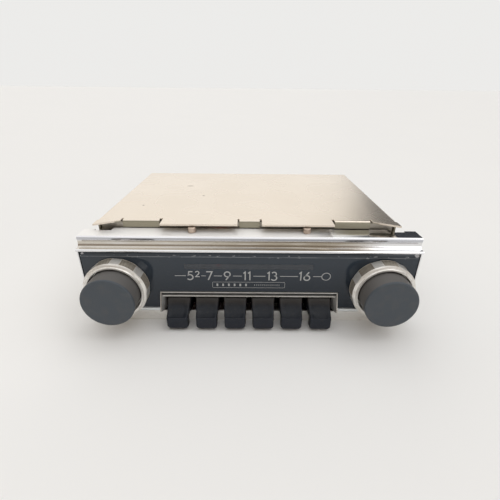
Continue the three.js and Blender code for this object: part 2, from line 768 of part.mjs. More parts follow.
function outputTransformer() {
  const core = box(-28, -2, 80, 100, ON_BOARD, ON_BOARD + 22);
  const window = [-28, -2].map((x) => box(x + (x < -10 ? 5 : -9), x + (x < -10 ? 9 : -5), 79, 101, 15, 27));
  const coil = box(-21.5, -8.5, 76, 104, 15.5, 26.5);
  return join(cut(core, ...window), coil);
}
addPart('output_transformer', outputTransformer(), STEEL);

// ---- rear face: heat sink, sockets and mounting stud --------------------------------------------
const REAR = WALL_BACK + GAP;

function heatSink() {
  const base = 2.5;
  const tip = 9.5;
  const fins = [0, 1, 2, 3, 4, 5].map((i) => box(2 + i * 6.8, 4 + i * 6.8, REAR, REAR + tip, 11, 43));
  return join(box(2, 38, REAR, REAR + base, 11, 43), ...fins);
}
addPart('heat_sink', heatSink(), ALUMINIUM);

addPart('antenna_socket', turned([
  [0, 108],
  [5.0, 108],
  [5.0, REAR],
  [7.5, REAR],
  [7.5, REAR + 1.5],
  [5.0, REAR + 1.5],
  [5.0, REAR + 6],
  [3.6, REAR + 6],
  [3.6, 111],
  [0, 111],
], SOCKETS.antenna.x, SOCKETS.antenna.z, 32), STEEL);

function powerSocket() {
  const { x, z } = SOCKETS.power;
  const shell = join(
    box(x - 11, x + 11, 108, REAR + 5, z - 7, z + 7),
    box(x - 14, x + 14, REAR, REAR + 1.5, z - 9, z + 9),
  );
  const mouth = box(x - 9.5, x + 9.5, 111, REAR + 6, z - 5.5, z + 5.5);
  const contacts = [-6, -2, 2, 6].map((dx) => box(x + dx - 0.9, x + dx + 0.9, 110, REAR + 1, z + 4.5, z + 6));
  return join(cut(shell, mouth), ...contacts);
}
addPart('power_socket', powerSocket(), BLACK_PLASTIC);

function hexagon(x, z, radius) {
  const corner = (i) => [x + radius * Math.cos(i * Math.PI / 3), z + radius * Math.sin(i * Math.PI / 3)];
  return [0, 1, 2, 3, 4, 5].map(corner);
}

addPart('rear_stud', join(
  rod(STUD.radius, WALL_BACK - SHEET - 3, STUD_TIP, STUD.x, STUD.z, 24),
  rod(5, WALL_BACK - SHEET - 3, WALL_BACK - SHEET - GAP, STUD.x, STUD.z, 24),
), STEEL);

addPart('stud_nut', cut(
  alongY(hexagon(STUD.x, STUD.z, 4.7), REAR, REAR + 4),
  rod(STUD.radius + GAP, REAR - 1, REAR + 5, STUD.x, STUD.z, 24),
), STEEL);

// ---- screws that hold the covers' turned edges --------------------------------------------------
const SCREW_Z = CASE_TOP - 4.2;
let screwNumber = 0;
for (const [edge, side] of [[CASE_LEFT, -1], [CASE_RIGHT, 1]]) {
  for (const y of [32, 104]) {
    screwNumber += 1;
    const profile = [[0, 0], [2.6, 0], [2.6, 0.8], [1.7, 1.7], [0, 1.9]];
    const head = turned(profile, 0, 0, 20).rotateZ(side * -Math.PI / 2);
    addPart(`cover_screw_${screwNumber}`, head.translate(edge + side * GAP, y, SCREW_Z), STEEL);
  }
}

export default radio;
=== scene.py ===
"""Looks of a dashboard car radio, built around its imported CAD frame."""

import math

import bmesh
import bpy
from mathutils import Matrix, Vector


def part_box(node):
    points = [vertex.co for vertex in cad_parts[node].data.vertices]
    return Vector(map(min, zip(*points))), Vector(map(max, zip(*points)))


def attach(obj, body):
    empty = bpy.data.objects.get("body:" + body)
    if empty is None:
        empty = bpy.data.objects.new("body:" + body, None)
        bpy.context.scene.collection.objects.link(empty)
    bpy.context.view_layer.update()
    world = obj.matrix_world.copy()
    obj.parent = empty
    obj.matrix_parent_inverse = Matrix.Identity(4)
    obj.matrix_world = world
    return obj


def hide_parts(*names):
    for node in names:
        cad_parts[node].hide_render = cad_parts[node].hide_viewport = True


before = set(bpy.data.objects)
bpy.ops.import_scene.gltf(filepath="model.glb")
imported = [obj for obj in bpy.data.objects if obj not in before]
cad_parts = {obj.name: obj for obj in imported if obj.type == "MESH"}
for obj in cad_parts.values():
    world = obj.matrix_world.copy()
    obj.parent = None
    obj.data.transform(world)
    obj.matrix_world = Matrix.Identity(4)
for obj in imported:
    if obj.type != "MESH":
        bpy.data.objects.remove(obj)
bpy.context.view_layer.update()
scene = bpy.context.scene

# Shapes below are in millimetres. X and Z are the frame's, and Y counts from the dial's front face.
MM = 0.001
DIAL_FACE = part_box("dial_glass")[0].y


def point(x, y, z):
    return Vector((x * MM, DIAL_FACE + y * MM, z * MM))


def extent(node):
    """Lowest and highest corner of a CAD node, in the units above."""
    low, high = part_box(node)
    shift = Vector((0, DIAL_FACE, 0))
    return (low - shift) / MM, (high - shift) / MM


# ---- camera --------------------------------------------------------------------------------------
def make_camera():
    data = bpy.data.cameras.new("camera")
    data.sensor_width = 36
    data.lens = 23.54
    data.clip_start = 0.01
    camera = bpy.data.objects.new("camera", data)
    scene.collection.objects.link(camera)
    pitch, yaw, roll = math.radians(26.41), math.radians(0.43), math.radians(0.62)
    forward = Vector((math.sin(yaw) * math.cos(pitch), math.cos(yaw) * math.cos(pitch), -math.sin(pitch)))
    level = Vector((math.cos(yaw), -math.sin(yaw), 0))
    upward = level.cross(forward)
    right = math.cos(roll) * level + math.sin(roll) * upward
    top = math.cos(roll) * upward - math.sin(roll) * level
    turn = Matrix((right, top, -forward)).transposed().to_4x4()
    camera.matrix_world = Matrix.Translation((-0.00128, DIAL_FACE - 0.15023, 0.11941)) @ turn
    scene.camera = camera


make_camera()
scene.view_settings.view_transform = "Standard"


# ---- materials -----------------------------------------------------------------------------------
class Finish:
    """A Principled material whose details are laid on in the piece's own coordinates."""

    def __init__(self, name, color, roughness, metallic=0.0, **sockets):
        self.material = bpy.data.materials.new(name)
        self.material.use_nodes = True
        self.nodes = self.material.node_tree.nodes
        self.links = self.material.node_tree.links
        self.shader = self.nodes["Principled BSDF"]
        self.shader.inputs["Metallic"].default_value = metallic
        for socket, value in sockets.items():
            self.shader.inputs[socket.replace("_", " ")].default_value = value
        self.place = self.add("ShaderNodeTexCoord").outputs["Object"]
        self.color = self.fixed_color(color)
        self.rough = roughness
        self.height = None

    def add(self, kind, **settings):
        node = self.nodes.new(kind)
        for key, value in settings.items():
            setattr(node, key, value)
        return node

    def fixed_color(self, color):
        node = self.add("ShaderNodeRGB")
        node.outputs[0].default_value = (*color, 1)
        return node.outputs[0]

    def feed(self, socket, value):
        if isinstance(value, (int, float)):
            socket.default_value = value
        else:
            self.links.new(value, socket)

    def math(self, operation, a, b=0.0):
        node = self.add("ShaderNodeMath", operation=operation)
        self.feed(node.inputs[0], a)
        self.feed(node.inputs[1], b)
        return node.outputs[0]

    def stretched(self, scale, turn=(0, 0, 0)):
        """Object coordinates in millimetres, multiplied by scale after a turn."""
        mapping = self.add("ShaderNodeMapping")
        mapping.inputs["Scale"].default_value = [1000 * s for s in scale]
        mapping.inputs["Rotation"].default_value = turn
        self.links.new(self.place, mapping.inputs["Vector"])
        return mapping.outputs[0]

    def noise(self, scale, detail=4.0, turn=(0, 0, 0), distortion=0.0):
        node = self.add("ShaderNodeTexNoise")
        node.inputs["Scale"].default_value = 1.0
        node.inputs["Detail"].default_value = detail
        node.inputs["Distortion"].default_value = distortion
        self.links.new(self.stretched(scale, turn), node.inputs["Vector"])
        return node.outputs["Fac"]

    def spots(self, scale, size):
        """1 inside small round spots, 0 elsewhere."""
        node = self.add("ShaderNodeTexVoronoi")
        node.inputs["Scale"].default_value = 1.0
        self.links.new(self.stretched((scale, scale, scale)), node.inputs["Vector"])
        return self.ranged(node.outputs["Distance"], size, size * 0.5)

    def ranged(self, value, low, high, to_low=0.0, to_high=1.0):
        node = self.add("ShaderNodeMapRange", interpolation_type="SMOOTHSTEP")
        self.feed(node.inputs["Value"], value)
        node.inputs["From Min"].default_value = low
        node.inputs["From Max"].default_value = high
        node.inputs["To Min"].default_value = to_low
        node.inputs["To Max"].default_value = to_high
        return node.outputs["Result"]

    def axis(self, index):
        """The coordinate along one axis, in millimetres, with Y from the dial's face."""
        node = self.add("ShaderNodeSeparateXYZ")
        self.links.new(self.place, node.inputs[0])
        value = self.math("MULTIPLY", node.outputs[index], 1000.0)
        return self.math("SUBTRACT", value, DIAL_FACE / MM) if index == 1 else value

    def tint(self, mask, color, strength=1.0):
        node = self.add("ShaderNodeMix", data_type="RGBA")
        self.feed(node.inputs["Factor"], self.math("MULTIPLY", mask, strength))
        self.links.new(self.color, node.inputs["A"])
        node.inputs["B"].default_value = (*color, 1)
        self.color = node.outputs["Result"]

    def roughen(self, mask, amount):
        self.rough = self.math("ADD", self.rough, self.math("MULTIPLY", mask, amount))

    def raise_by(self, mask, millimetres):
        lifted = self.math("MULTIPLY", mask, millimetres * MM)
        self.height = lifted if self.height is None else self.math("ADD", self.height, lifted)

    def scratches(self, density, turn, width=0.02):
        """Fine straight lines along one direction."""
        line = self.noise((density * 6, density * 0.12, density * 6), 2.0, turn)
        return self.ranged(line, 0.70 - width, 0.70 + width)

    def worn_edges(self, radius):
        """1 along sharp edges, 0 on flat faces."""
        bevel = self.add("ShaderNodeBevel", samples=4)
        bevel.inputs["Radius"].default_value = radius * MM
        geometry = self.add("ShaderNodeNewGeometry")
        dot = self.add("ShaderNodeVectorMath", operation="DOT_PRODUCT")
        self.links.new(bevel.outputs["Normal"], dot.inputs[0])
        self.links.new(geometry.outputs["Normal"], dot.inputs[1])
        return self.ranged(dot.outputs["Value"], 0.995, 0.86)

    def done(self):
        self.links.new(self.color, self.shader.inputs["Base Color"])
        self.feed(self.shader.inputs["Roughness"], self.rough)
        if self.height is not None:
            bump = self.add("ShaderNodeBump")
            bump.inputs["Distance"].default_value = 1.0
            self.links.new(self.height, bump.inputs["Height"])
            self.links.new(bump.outputs["Normal"], self.shader.inputs["Normal"])
        return self.material


def plated_sheet():
    """Warm plated sheet: soft clouds, three dark marks, and painted shade in a darker olive on the
    turned-down tabs.
    """
    f = Finish("plated_sheet", (0.83, 0.75, 0.655), 0.26, 0.95)
    cloud = f.noise((0.015, 0.015, 0.015), 1.0)
    f.tint(f.ranged(cloud, 0.20, 0.80), (0.74, 0.65, 0.54), 0.30)
    stain = f.noise((0.04, 0.04, 0.04), 1.0)
    f.tint(f.ranged(stain, 0.15, 0.90), (0.62, 0.52, 0.40), 0.12)
    f.roughen(f.ranged(stain, 0.15, 0.90), 0.03)
    specks = f.spots(0.05, 0.035)
    f.tint(specks, (0.22, 0.15, 0.10), 0.6)
    f.raise_by(f.noise((2.5, 2.5, 2.5), 2.0), 0.0005)
    across, depth, height = f.axis(0), f.axis(1), f.axis(2)
    for x, y, length, width in ((-43.0, 82.6, 2.8, 1.3), (-30.7, 59.2, 1.0, 1.1), (-64.4, 38.7, 0.8, 1.0)):
        along = f.math("DIVIDE", f.math("SUBTRACT", across, x), length)
        aside = f.math("DIVIDE", f.math("SUBTRACT", depth, y), width)
        spread = f.math("ADD", f.math("MULTIPLY", along, along), f.math("MULTIPLY", aside, aside))
        f.tint(f.ranged(spread, 1.0, 0.3), (0.30, 0.22, 0.16), 0.7)
    # Painted shade: the front faces of the turned-down tabs are painted a darker olive.
    tab_painted_shade = f.math("MULTIPLY", f.ranged(height, 55.1, 54.5), f.ranged(depth, 12.4, 13.2))
    tab_painted_shade = f.math("MULTIPLY", tab_painted_shade, f.ranged(depth, 16.4, 15.6))
    f.tint(tab_painted_shade, (0.36, 0.34, 0.26), 0.95)
    f.roughen(tab_painted_shade, 0.15)
    f.tint(f.worn_edges(0.3), (0.34, 0.30, 0.25), 0.5)
    return f.done()


def chassis_sheet():
    """Plated like the lid, with painted shade in near-black on its front wall round the key slots."""
    f = Finish("chassis_sheet", (0.52, 0.49, 0.43), 0.38, 0.85)
    stain = f.noise((0.15, 0.15, 0.15), 6.0, distortion=1.0)
    f.tint(f.ranged(stain, 0.35, 0.80), (0.36, 0.33, 0.28), 0.35)
    f.roughen(f.ranged(stain, 0.4, 0.7), 0.12)
    f.raise_by(f.noise((0.4, 0.4, 3.0), 3.0), 0.01)
    # Painted shade: the front wall round the key slots is painted near-black.
    shade = f.math("MULTIPLY", f.ranged(f.axis(1), 18.0, 17.4), f.ranged(f.axis(2), 22.0, 19.0))
    f.tint(shade, (0.012, 0.012, 0.012), 1.0)
    f.tint(f.worn_edges(0.3), (0.30, 0.27, 0.23), 0.4)
    return f.done()


def strip_sheet():
    f = Finish("strip_sheet", (0.90, 0.89, 0.86), 0.36, 0.70)
    rolled = f.noise((0.05, 2.0, 2.0), 4.0)
    f.roughen(f.ranged(rolled, 0.3, 0.7), 0.10)
    f.raise_by(rolled, 0.004)
    stain = f.noise((0.12, 0.12, 0.12), 6.0, distortion=1.0)
    f.tint(f.ranged(stain, 0.50, 0.70), (0.60, 0.58, 0.54), 0.4)
    line = f.scratches(0.3, (0, 0.3, 0.1), 0.012)
    f.tint(line, (0.30, 0.29, 0.27), 0.3)
    f.tint(f.worn_edges(0.3), (0.34, 0.32, 0.28), 0.5)
    return f.done()


def chrome():
    """Bright plate with painted reflections: the flange painted near-white towards the left, the hollow
    front painted with blue-grey and brown bands and dark lines except near the right end, and the bottom
    rail painted white-blue.
    """
    f = Finish("chrome_plate", (0.80, 0.80, 0.81), 0.09, 1.0)
    across, depth, height = f.axis(0), f.axis(1), f.axis(2)
    streak = f.noise((0.03, 1.6, 1.6), 5.0)
    f.roughen(f.ranged(streak, 0.35, 0.75), 0.10)
    f.tint(f.ranged(streak, 0.48, 0.72), (0.52, 0.53, 0.56), 0.45)
    # Painted reflection: the hollow front is painted blue-grey above and brown below, darker brown towards
    # the right, except near the right end.
    web = f.math("MULTIPLY", f.ranged(height, 50.3, 49.9), f.ranged(height, 43.8, 44.1))
    web = f.math("MULTIPLY", web, f.ranged(depth, -1.0, -0.5))
    f.tint(f.math("MULTIPLY", web, f.ranged(height, 48.2, 49.2)), (0.50, 0.51, 0.55), 0.8)
    hollow = f.math("MULTIPLY", web, f.ranged(height, 48.9, 47.8))
    kept = f.ranged(across, 72.0, 44.0)
    patchy = f.ranged(f.noise((0.05, 0.4, 0.7), 4.0), 0.25, 0.60, 0.45, 1.0)
    brown_reflection = f.math("MULTIPLY", f.math("MULTIPLY", hollow, kept), patchy)
    right_half = f.ranged(across, -60.0, 30.0)
    f.tint(brown_reflection, (0.62, 0.57, 0.49), 0.85)
    f.tint(f.math("MULTIPLY", brown_reflection, right_half), (0.32, 0.27, 0.20), 0.75)
    f.roughen(brown_reflection, 0.10)
    # Painted reflection: three broken dark lines across the hollow front.
    for level, reach, shade, part in (
        (49.3, 0.35, (0.16, 0.17, 0.20), 0.36),
        (47.9, 0.30, (0.22, 0.18, 0.14), 0.50),
        (45.1, 0.30, (0.16, 0.15, 0.15), 0.40),
    ):
        off = f.math("ABSOLUTE", f.math("SUBTRACT", height, level))
        line = f.math("MULTIPLY", f.math("MULTIPLY", f.ranged(off, reach, reach * 0.3), web), kept)
        broken = f.ranged(f.noise((0.025, 0.2, 1.5), 3.0), part - 0.08, part + 0.08)
        f.tint(f.math("MULTIPLY", f.math("MULTIPLY", line, broken), right_half), shade, 0.8)
    f.raise_by(streak, 0.004)
    f.raise_by(f.noise((0.06, 0.06, 0.5), 2.0), 0.02)
    pits = f.spots(0.45, 0.05)
    f.tint(pits, (0.30, 0.25, 0.20), 0.6)
    f.roughen(pits, 0.25)
    # Painted reflection: the flange top is painted near-white towards the left, and is made rougher and less
    # metallic there.
    sheen_patches = f.math("MULTIPLY", f.ranged(height, 50.60, 50.74), f.ranged(across, 54.0, 28.0))
    sheen_patches = f.math("MULTIPLY", sheen_patches, f.ranged(f.noise((0.08, 0.3, 0.3), 5.0), 0.2, 0.5, 0.75, 1.0))
    f.tint(sheen_patches, (0.93, 0.92, 0.905), 0.95)
    f.roughen(sheen_patches, 0.35)
    # Painted highlight: the bottom rail below 9.2 mm is painted white-blue and made less metallic.
    rail = f.ranged(height, 9.2, 9.0)
    f.tint(rail, (0.90, 0.945, 0.965), 0.95)
    dull = f.math("ADD", f.math("MULTIPLY", sheen_patches, 0.72), f.math("MULTIPLY", rail, 0.65))
    f.links.new(f.math("SUBTRACT", 1.0, dull), f.shader.inputs["Metallic"])
    return f.done()


def bezel_chrome():
    f = Finish("bezel_chrome", (0.60, 0.585, 0.56), 0.30, 0.7)
    streak = f.noise((0.3, 0.8, 0.8), 5.0)
    f.roughen(f.ranged(streak, 0.35, 0.75), 0.15)
    f.tint(f.ranged(streak, 0.42, 0.70), (0.42, 0.39, 0.35), 0.5)
    f.raise_by(streak, 0.005)
    pits = f.spots(0.6, 0.06)
    f.tint(pits, (0.30, 0.26, 0.22), 0.5)
    return f.done()


def nut_metal(name, color, roughness, metallic, grime_color, crevices=False):
    """Nickel plate with grime; crevices darkens what lies below the nuts' full radius."""
    f = Finish(name, color, roughness, metallic)
    if crevices:
        low, high = extent("right_nut")
        across = f.math("SUBTRACT", f.math("ABSOLUTE", f.axis(0)), (low.x + high.x) / 2)
        up = f.math("SUBTRACT", f.axis(2), (low.z + high.z) / 2)
        reach = f.math("SQRT", f.math("ADD", f.math("MULTIPLY", across, across), f.math("MULTIPLY", up, up)))
        full = (high.x - low.x) / 2
        f.tint(f.ranged(reach, full - 0.05, full - 0.22), (0.10, 0.085, 0.065), 0.8)
    grime = f.noise((0.35, 0.35, 0.35), 6.0)
    f.tint(f.ranged(grime, 0.50, 0.74), grime_color, 0.45)
    f.roughen(f.ranged(grime, 0.42, 0.70), 0.12)
    turned = f.noise((0.3, 7.0, 0.3), 3.0)
    f.roughen(turned, 0.08)
    f.raise_by(turned, 0.006)
    return f.done()


def smoked_acrylic():
    """Dark gloss sheet: a painted highlight line along its upper bevel and a chip near each upper corner."""
    f = Finish("smoked_acrylic", (0.010, 0.017, 0.028), 0.055, 0.0, IOR=1.47)
    across, height = f.axis(0), f.axis(2)
    # Painted reflection: the sheet is painted lighter towards its top and towards its left end.
    f.tint(f.ranged(height, 16.0, 42.0), (0.032, 0.044, 0.060))
    f.tint(f.ranged(across, -30.0, -80.0), (0.040, 0.050, 0.062), 0.5)
    dust = f.noise((0.9, 0.9, 0.9), 8.0)
    f.tint(f.ranged(dust, 0.62, 0.74), (0.05, 0.055, 0.06), 0.35)
    cloud = f.noise((0.03, 0.03, 0.06), 4.0)
    f.roughen(f.ranged(cloud, 0.35, 0.75), 0.05)
    line = f.scratches(0.35, (0, 1.4, 0.2), 0.012)
    f.roughen(line, 0.25)
    f.raise_by(line, -0.004)
    f.raise_by(f.noise((0.02, 0.02, 0.03), 1.0), 0.05)
    # Painted highlight: a broken light line along the bevel's arris; the nicks beside it are wear.
    arris = f.ranged(f.math("ABSOLUTE", f.math("SUBTRACT", height, 40.5)), 0.26, 0.06)
    sheen_patches = f.ranged(f.noise((0.10, 0.6, 0.6), 6.0), 0.35, 0.66, 0.30, 1.0)
    f.tint(f.math("MULTIPLY", arris, sheen_patches), (0.30, 0.32, 0.34), 0.75)
    nick = f.ranged(f.noise((0.45, 1.4, 1.4), 5.0), 0.63, 0.67)
    near = f.ranged(f.math("ABSOLUTE", f.math("SUBTRACT", height, 40.7)), 0.9, 0.3)
    f.tint(f.math("MULTIPLY", nick, near), (0.50, 0.51, 0.53), 0.8)
    reach = f.ranged(across, -1.0, 1.0, 0.9, 1.7)
    out = f.math("DIVIDE", f.math("SUBTRACT", f.math("ABSOLUTE", across), 86.9), reach)
    up = f.math("DIVIDE", f.math("SUBTRACT", height, 42.0), f.math("MULTIPLY", reach, 0.75))
    ragged = f.math("MULTIPLY", f.noise((1.2, 1.2, 1.2), 4.0), 0.9)
    spread = f.math("ADD", f.math("MULTIPLY", out, out), f.math("ADD", f.math("MULTIPLY", up, up), ragged))
    chip = f.ranged(spread, 1.15, 0.95)
    f.tint(chip, (0.58, 0.59, 0.62), 0.9)
    f.roughen(chip, 0.4)
    return f.done()


def window_acrylic():
    """Clear strip of the dial: a smoky gloss that lets a little show through."""
    f = Finish("window_acrylic", (0.078, 0.088, 0.103), 0.07, 0.0, IOR=1.47)
    dust = f.noise((0.5, 0.5, 0.5), 4.0)
    f.tint(f.ranged(dust, 0.50, 0.75), (0.10, 0.11, 0.12), 0.2)
    f.roughen(f.noise((0.05, 0.05, 0.1), 3.0), 0.05)
    material = f.done()
    clear = f.add("ShaderNodeBsdfTransparent")
    clear.inputs["Color"].default_value = (0.86, 0.88, 0.90, 1)
    mix = f.add("ShaderNodeMixShader")
    fresnel = f.add("ShaderNodeFresnel")
    fresnel.inputs["IOR"].default_value = 1.47
    cover = f.math("ADD", f.ranged(dust, 0.4, 0.8, 0.70, 0.72), fresnel.outputs[0])
    f.links.new(cover, mix.inputs[0])
    f.links.new(clear.outputs[0], mix.inputs[1])
    f.links.new(f.shader.outputs[0], mix.inputs[2])
    output = f.nodes["Material Output"]
    f.links.new(mix.outputs[0], output.inputs["Surface"])
    return material


def matte_knob():
    f = Finish("matte_knob", (0.062, 0.075, 0.090), 0.55)
    # Painted light: the knob's side is painted lighter and warmer than its face, where light from above
    # falls on it.
    side = f.ranged(f.axis(1), -17.2, -16.2)
    f.tint(side, (0.115, 0.107, 0.100), 0.85)
    dust = f.noise((0.25, 0.25, 0.25), 7.0)
    f.tint(f.ranged(dust, 0.40, 0.75), (0.105, 0.104, 0.102), 0.25)
    f.roughen(f.noise((2.5, 2.5, 2.5), 4.0), 0.12)
    f.raise_by(f.noise((3.5, 3.5, 3.5), 3.0), 0.015)
    wear = f.worn_edges(0.5)
    f.tint(wear, (0.16, 0.16, 0.155), 0.35)
    return f.done()


def key_plastic():
    f = Finish("key_plastic", (0.009, 0.012, 0.018), 0.36, Specular_IOR_Level=0.30)
    height, depth = f.axis(2), f.axis(1)
    shoulder = f.math("MULTIPLY", f.ranged(height, 11.5, 14.5), f.ranged(depth, 1.5, -0.5))
    f.tint(shoulder, (0.034, 0.029, 0.025), 0.8)
    # Painted reflection: the keys' front faces are painted a lighter blue.
    f.tint(f.ranged(depth, -9.0, -9.6), (0.012, 0.016, 0.026), 0.9)
    dust = f.noise((0.6, 0.6, 0.6), 7.0)
    f.tint(f.ranged(dust, 0.50, 0.75), (0.045, 0.040, 0.037), 0.35)
    f.roughen(f.ranged(dust, 0.35, 0.7), 0.14)
    f.raise_by(f.noise((4.0, 4.0, 4.0), 3.0), 0.006)
    line = f.scratches(0.6, (0.4, 0.9, 0.3), 0.012)
    f.tint(line, (0.12, 0.12, 0.12), 0.4)
    wear = f.worn_edges(0.3)
    f.tint(wear, (0.16, 0.16, 0.16), 0.35)
    return f.done()


def printed_ink():
    f = Finish("printed_ink", (0.50, 0.51, 0.51), 0.5)
    worn = f.noise((3.0, 3.0, 3.0), 5.0)
    f.tint(f.ranged(worn, 0.55, 0.75), (0.22, 0.23, 0.24), 0.5)
    f.roughen(worn, 0.1)
    return f.done()


def machined(name, color, roughness, streaks, grime, metallic=1.0):
    f = Finish(name, color, roughness, metallic)
    line = f.noise(streaks, 4.0)
    f.roughen(f.ranged(line, 0.3, 0.7), 0.12)
    f.raise_by(line, 0.006)
    dirt = f.noise((0.2, 0.2, 0.2), 6.0)
    f.tint(f.ranged(dirt, 0.48, 0.70), grime, 0.45)
    f.roughen(f.ranged(dirt, 0.45, 0.7), 0.18)
    f.tint(f.worn_edges(0.3), [min(1.0, c * 1.3) for c in color], 0.5)
    return f.done()


def moulded(name, color, roughness, dust_color, glow=0.0):
    """Plastic, paint or glass with a little dust; glow is painted light that makes a part show in the dark
    behind the dial.
    """
    f = Finish(name, color, roughness)
    f.shader.inputs["Emission Color"].default_value = (*color, 1)
    f.shader.inputs["Emission Strength"].default_value = glow
    dust = f.noise((0.3, 0.3, 0.3), 7.0)
    f.tint(f.ranged(dust, 0.45, 0.75), dust_color, 0.4)
    f.roughen(f.ranged(dust, 0.35, 0.75), 0.2)
    f.raise_by(f.noise((3.0, 3.0, 3.0), 3.0), 0.008)
    f.tint(f.worn_edges(0.25), dust_color, 0.4)
    return f.done()


def braided_cord():
    f = Finish("braided_cord", (0.60, 0.54, 0.42), 0.85)
    weave = f.noise((5.0, 5.0, 5.0), 2.0)
    f.tint(f.ranged(weave, 0.4, 0.6), (0.35, 0.30, 0.22), 0.6)
    f.raise_by(weave, 0.03)
    return f.done()


def wound_copper():
    f = Finish("wound_copper", (0.40, 0.16, 0.06), 0.35, 0.8)
    turns = f.noise((0.3, 6.0, 0.3), 1.0)
    f.tint(f.ranged(turns, 0.4, 0.6), (0.20, 0.07, 0.03), 0.6)
    f.raise_by(turns, 0.04)
    f.roughen(turns, 0.15)
    return f.done()


def floor_paper():
    f = Finish("floor_paper", (0.875, 0.872, 0.862), 0.85)
    cloud = f.noise((0.004, 0.004, 0.004), 3.0)
    f.tint(f.ranged(cloud, 0.3, 0.8), (0.862, 0.860, 0.852), 0.5)
    fibre = f.noise((1.5, 1.5, 1.5), 4.0)
    f.roughen(fibre, 0.08)
    f.raise_by(fibre, 0.01)
    return f.done()


PLATED = plated_sheet()
CHROME = chrome()
BEZEL = bezel_chrome()
CHASSIS = chassis_sheet()
STRIP = strip_sheet()
KNURLED = nut_metal("knurled_nickel", (0.60, 0.55, 0.47), 0.42, 0.35, (0.44, 0.39, 0.32), True)
POLISHED = nut_metal("polished_nickel", (0.82, 0.80, 0.76), 0.26, 0.55, (0.60, 0.54, 0.46))
SATIN = nut_metal("satin_cheek", (0.42, 0.42, 0.41), 0.50, 0.3, (0.32, 0.31, 0.29))
SMOKED = smoked_acrylic()
WINDOW = window_acrylic()
KNOB = matte_knob()
KEY = key_plastic()
INK = printed_ink()
STEEL = machined("satin_steel", (0.52, 0.51, 0.50), 0.30, (0.3, 5.0, 5.0), (0.30, 0.26, 0.22))
# Painted shade: near-black steel for the key frame and key slides, where the inside behind the keys lies in
# shade.
SHADE_DARK_STEEL = machined(
    "steel_dark_as_painted_shade", (0.035, 0.035, 0.036), 0.45, (0.3, 5.0, 5.0), (0.06, 0.05, 0.045), 0.5
)
BRASS = machined("dull_brass", (0.60, 0.50, 0.42), 0.34, (4.0, 4.0, 0.6), (0.28, 0.20, 0.15), 0.85)
ALUMINIUM = machined("aluminium", (0.60, 0.61, 0.62), 0.36, (0.4, 0.4, 5.0), (0.42, 0.42, 0.41))
FERRITE = machined("ferrite", (0.07, 0.06, 0.055), 0.55, (1.0, 1.0, 1.0), (0.14, 0.10, 0.08), 0.4)
BLACK = moulded("black_plastic", (0.022, 0.022, 0.023), 0.42, (0.10, 0.095, 0.085))
# Painted light: the red pointer glows, though it is no lamp.
RED = moulded("red_plastic", (0.85, 0.07, 0.06), 0.40, (0.60, 0.14, 0.12), 0.6)
WHITE = moulded("white_paint", (0.74, 0.73, 0.69), 0.55, (0.55, 0.52, 0.46))
LAMP = moulded("lamp_glass", (0.85, 0.76, 0.52), 0.12, (0.60, 0.50, 0.32))
BOARD = moulded("board_laminate", (0.30, 0.19, 0.09), 0.45, (0.20, 0.13, 0.07))
CORD = braided_cord()
COPPER = wound_copper()


# ---- mesh helpers --------------------------------------------------------------------------------
NEARLY_STRAIGHT = 3.1


def fillet(corners, radius, steps=4):
    """The closed outline with each corner rounded. radius is one number or one for each corner."""
    count = len(corners)
    radii = radius if isinstance(radius, (list, tuple)) else [radius] * count
    out = []
    for i, corner in enumerate(corners):
        here = Vector(corner)
        back = Vector(corners[i - 1]) - here
        ahead = Vector(corners[(i + 1) % count]) - here
        angle = back.angle(ahead)
        reach = radii[i] / max(math.tan(angle / 2), 1e-6)
        reach = min(reach, back.length / 2.02, ahead.length / 2.02)
        if radii[i] <= 0 or angle > NEARLY_STRAIGHT:
            out.append(tuple(here))
            continue
        start = here + back.normalized() * reach
        end = here + ahead.normalized() * reach
        for k in range(steps + 1):
            t = k / steps
            out.append(tuple(start * (1 - t) ** 2 + here * 2 * t * (1 - t) + end * t ** 2))
    return out


def prism(bm, outline, axis, a, b):
    """A closed prism: an outline across the axis, carried from a to b along it."""
    place = {
        "x": lambda u, v, w: point(w, u, v),
        "y": lambda u, v, w: point(u, w, v),
        "z": lambda u, v, w: point(u, v, w),
    }[axis]
    near = [bm.verts.new(place(u, v, a)) for u, v in outline]
    far = [bm.verts.new(place(u, v, b)) for u, v in outline]
    bm.faces.new(near)
    bm.faces.new(far)
    for i in range(len(outline)):
        j = (i + 1) % len(outline)
        bm.faces.new((near[i], near[j], far[j], far[i]))


def loft(bm, rings):
    """A closed solid through rings of points, all with the same number of corners."""
    loops = [[bm.verts.new(point(*corner)) for corner in ring] for ring in rings]
    bm.faces.new(loops[0])
    bm.faces.new(loops[-1])
    for one, two in zip(loops, loops[1:]):
        for i in range(len(one)):
            j = (i + 1) % len(one)
            bm.faces.new((one[i], one[j], two[j], two[i]))


def block(bm, x0, x1, y0, y1, z0, z1, radius=0.0):
    outline = [(x0, z0), (x1, z0), (x1, z1), (x0, z1)]
    prism(bm, fillet(outline, radius) if radius else outline, "y", y0, y1)


def lathe(bm, profile, centre, segments, closed=True, shape=None):
    """A (radius, y) profile turned about an axis along Y. shape may change a radius by angle."""
    cx, cz = centre
    rings = []
    for r, y in profile:
        if r < 1e-6:
            rings.append([bm.verts.new(point(cx, y, cz))])
            continue
        ring = []
        for k in range(segments):
            angle = 2 * math.pi * k / segments
            radius = shape(angle, r, y) if shape else r
            ring.append(bm.verts.new(point(cx + radius * math.sin(angle), y, cz + radius * math.cos(angle))))
        rings.append(ring)
    pairs = list(zip(rings, rings[1:]))
    if closed:
        pairs.append((rings[-1], rings[0]))
    for one, two in pairs:
        for k in range(segments):
            j = (k + 1) % segments
            corners = [one[k % len(one)], one[j % len(one)], two[j % len(two)], two[k % len(two)]]
            corners = list(dict.fromkeys(corners))
            if len(corners) > 2:
                bm.faces.new(corners)


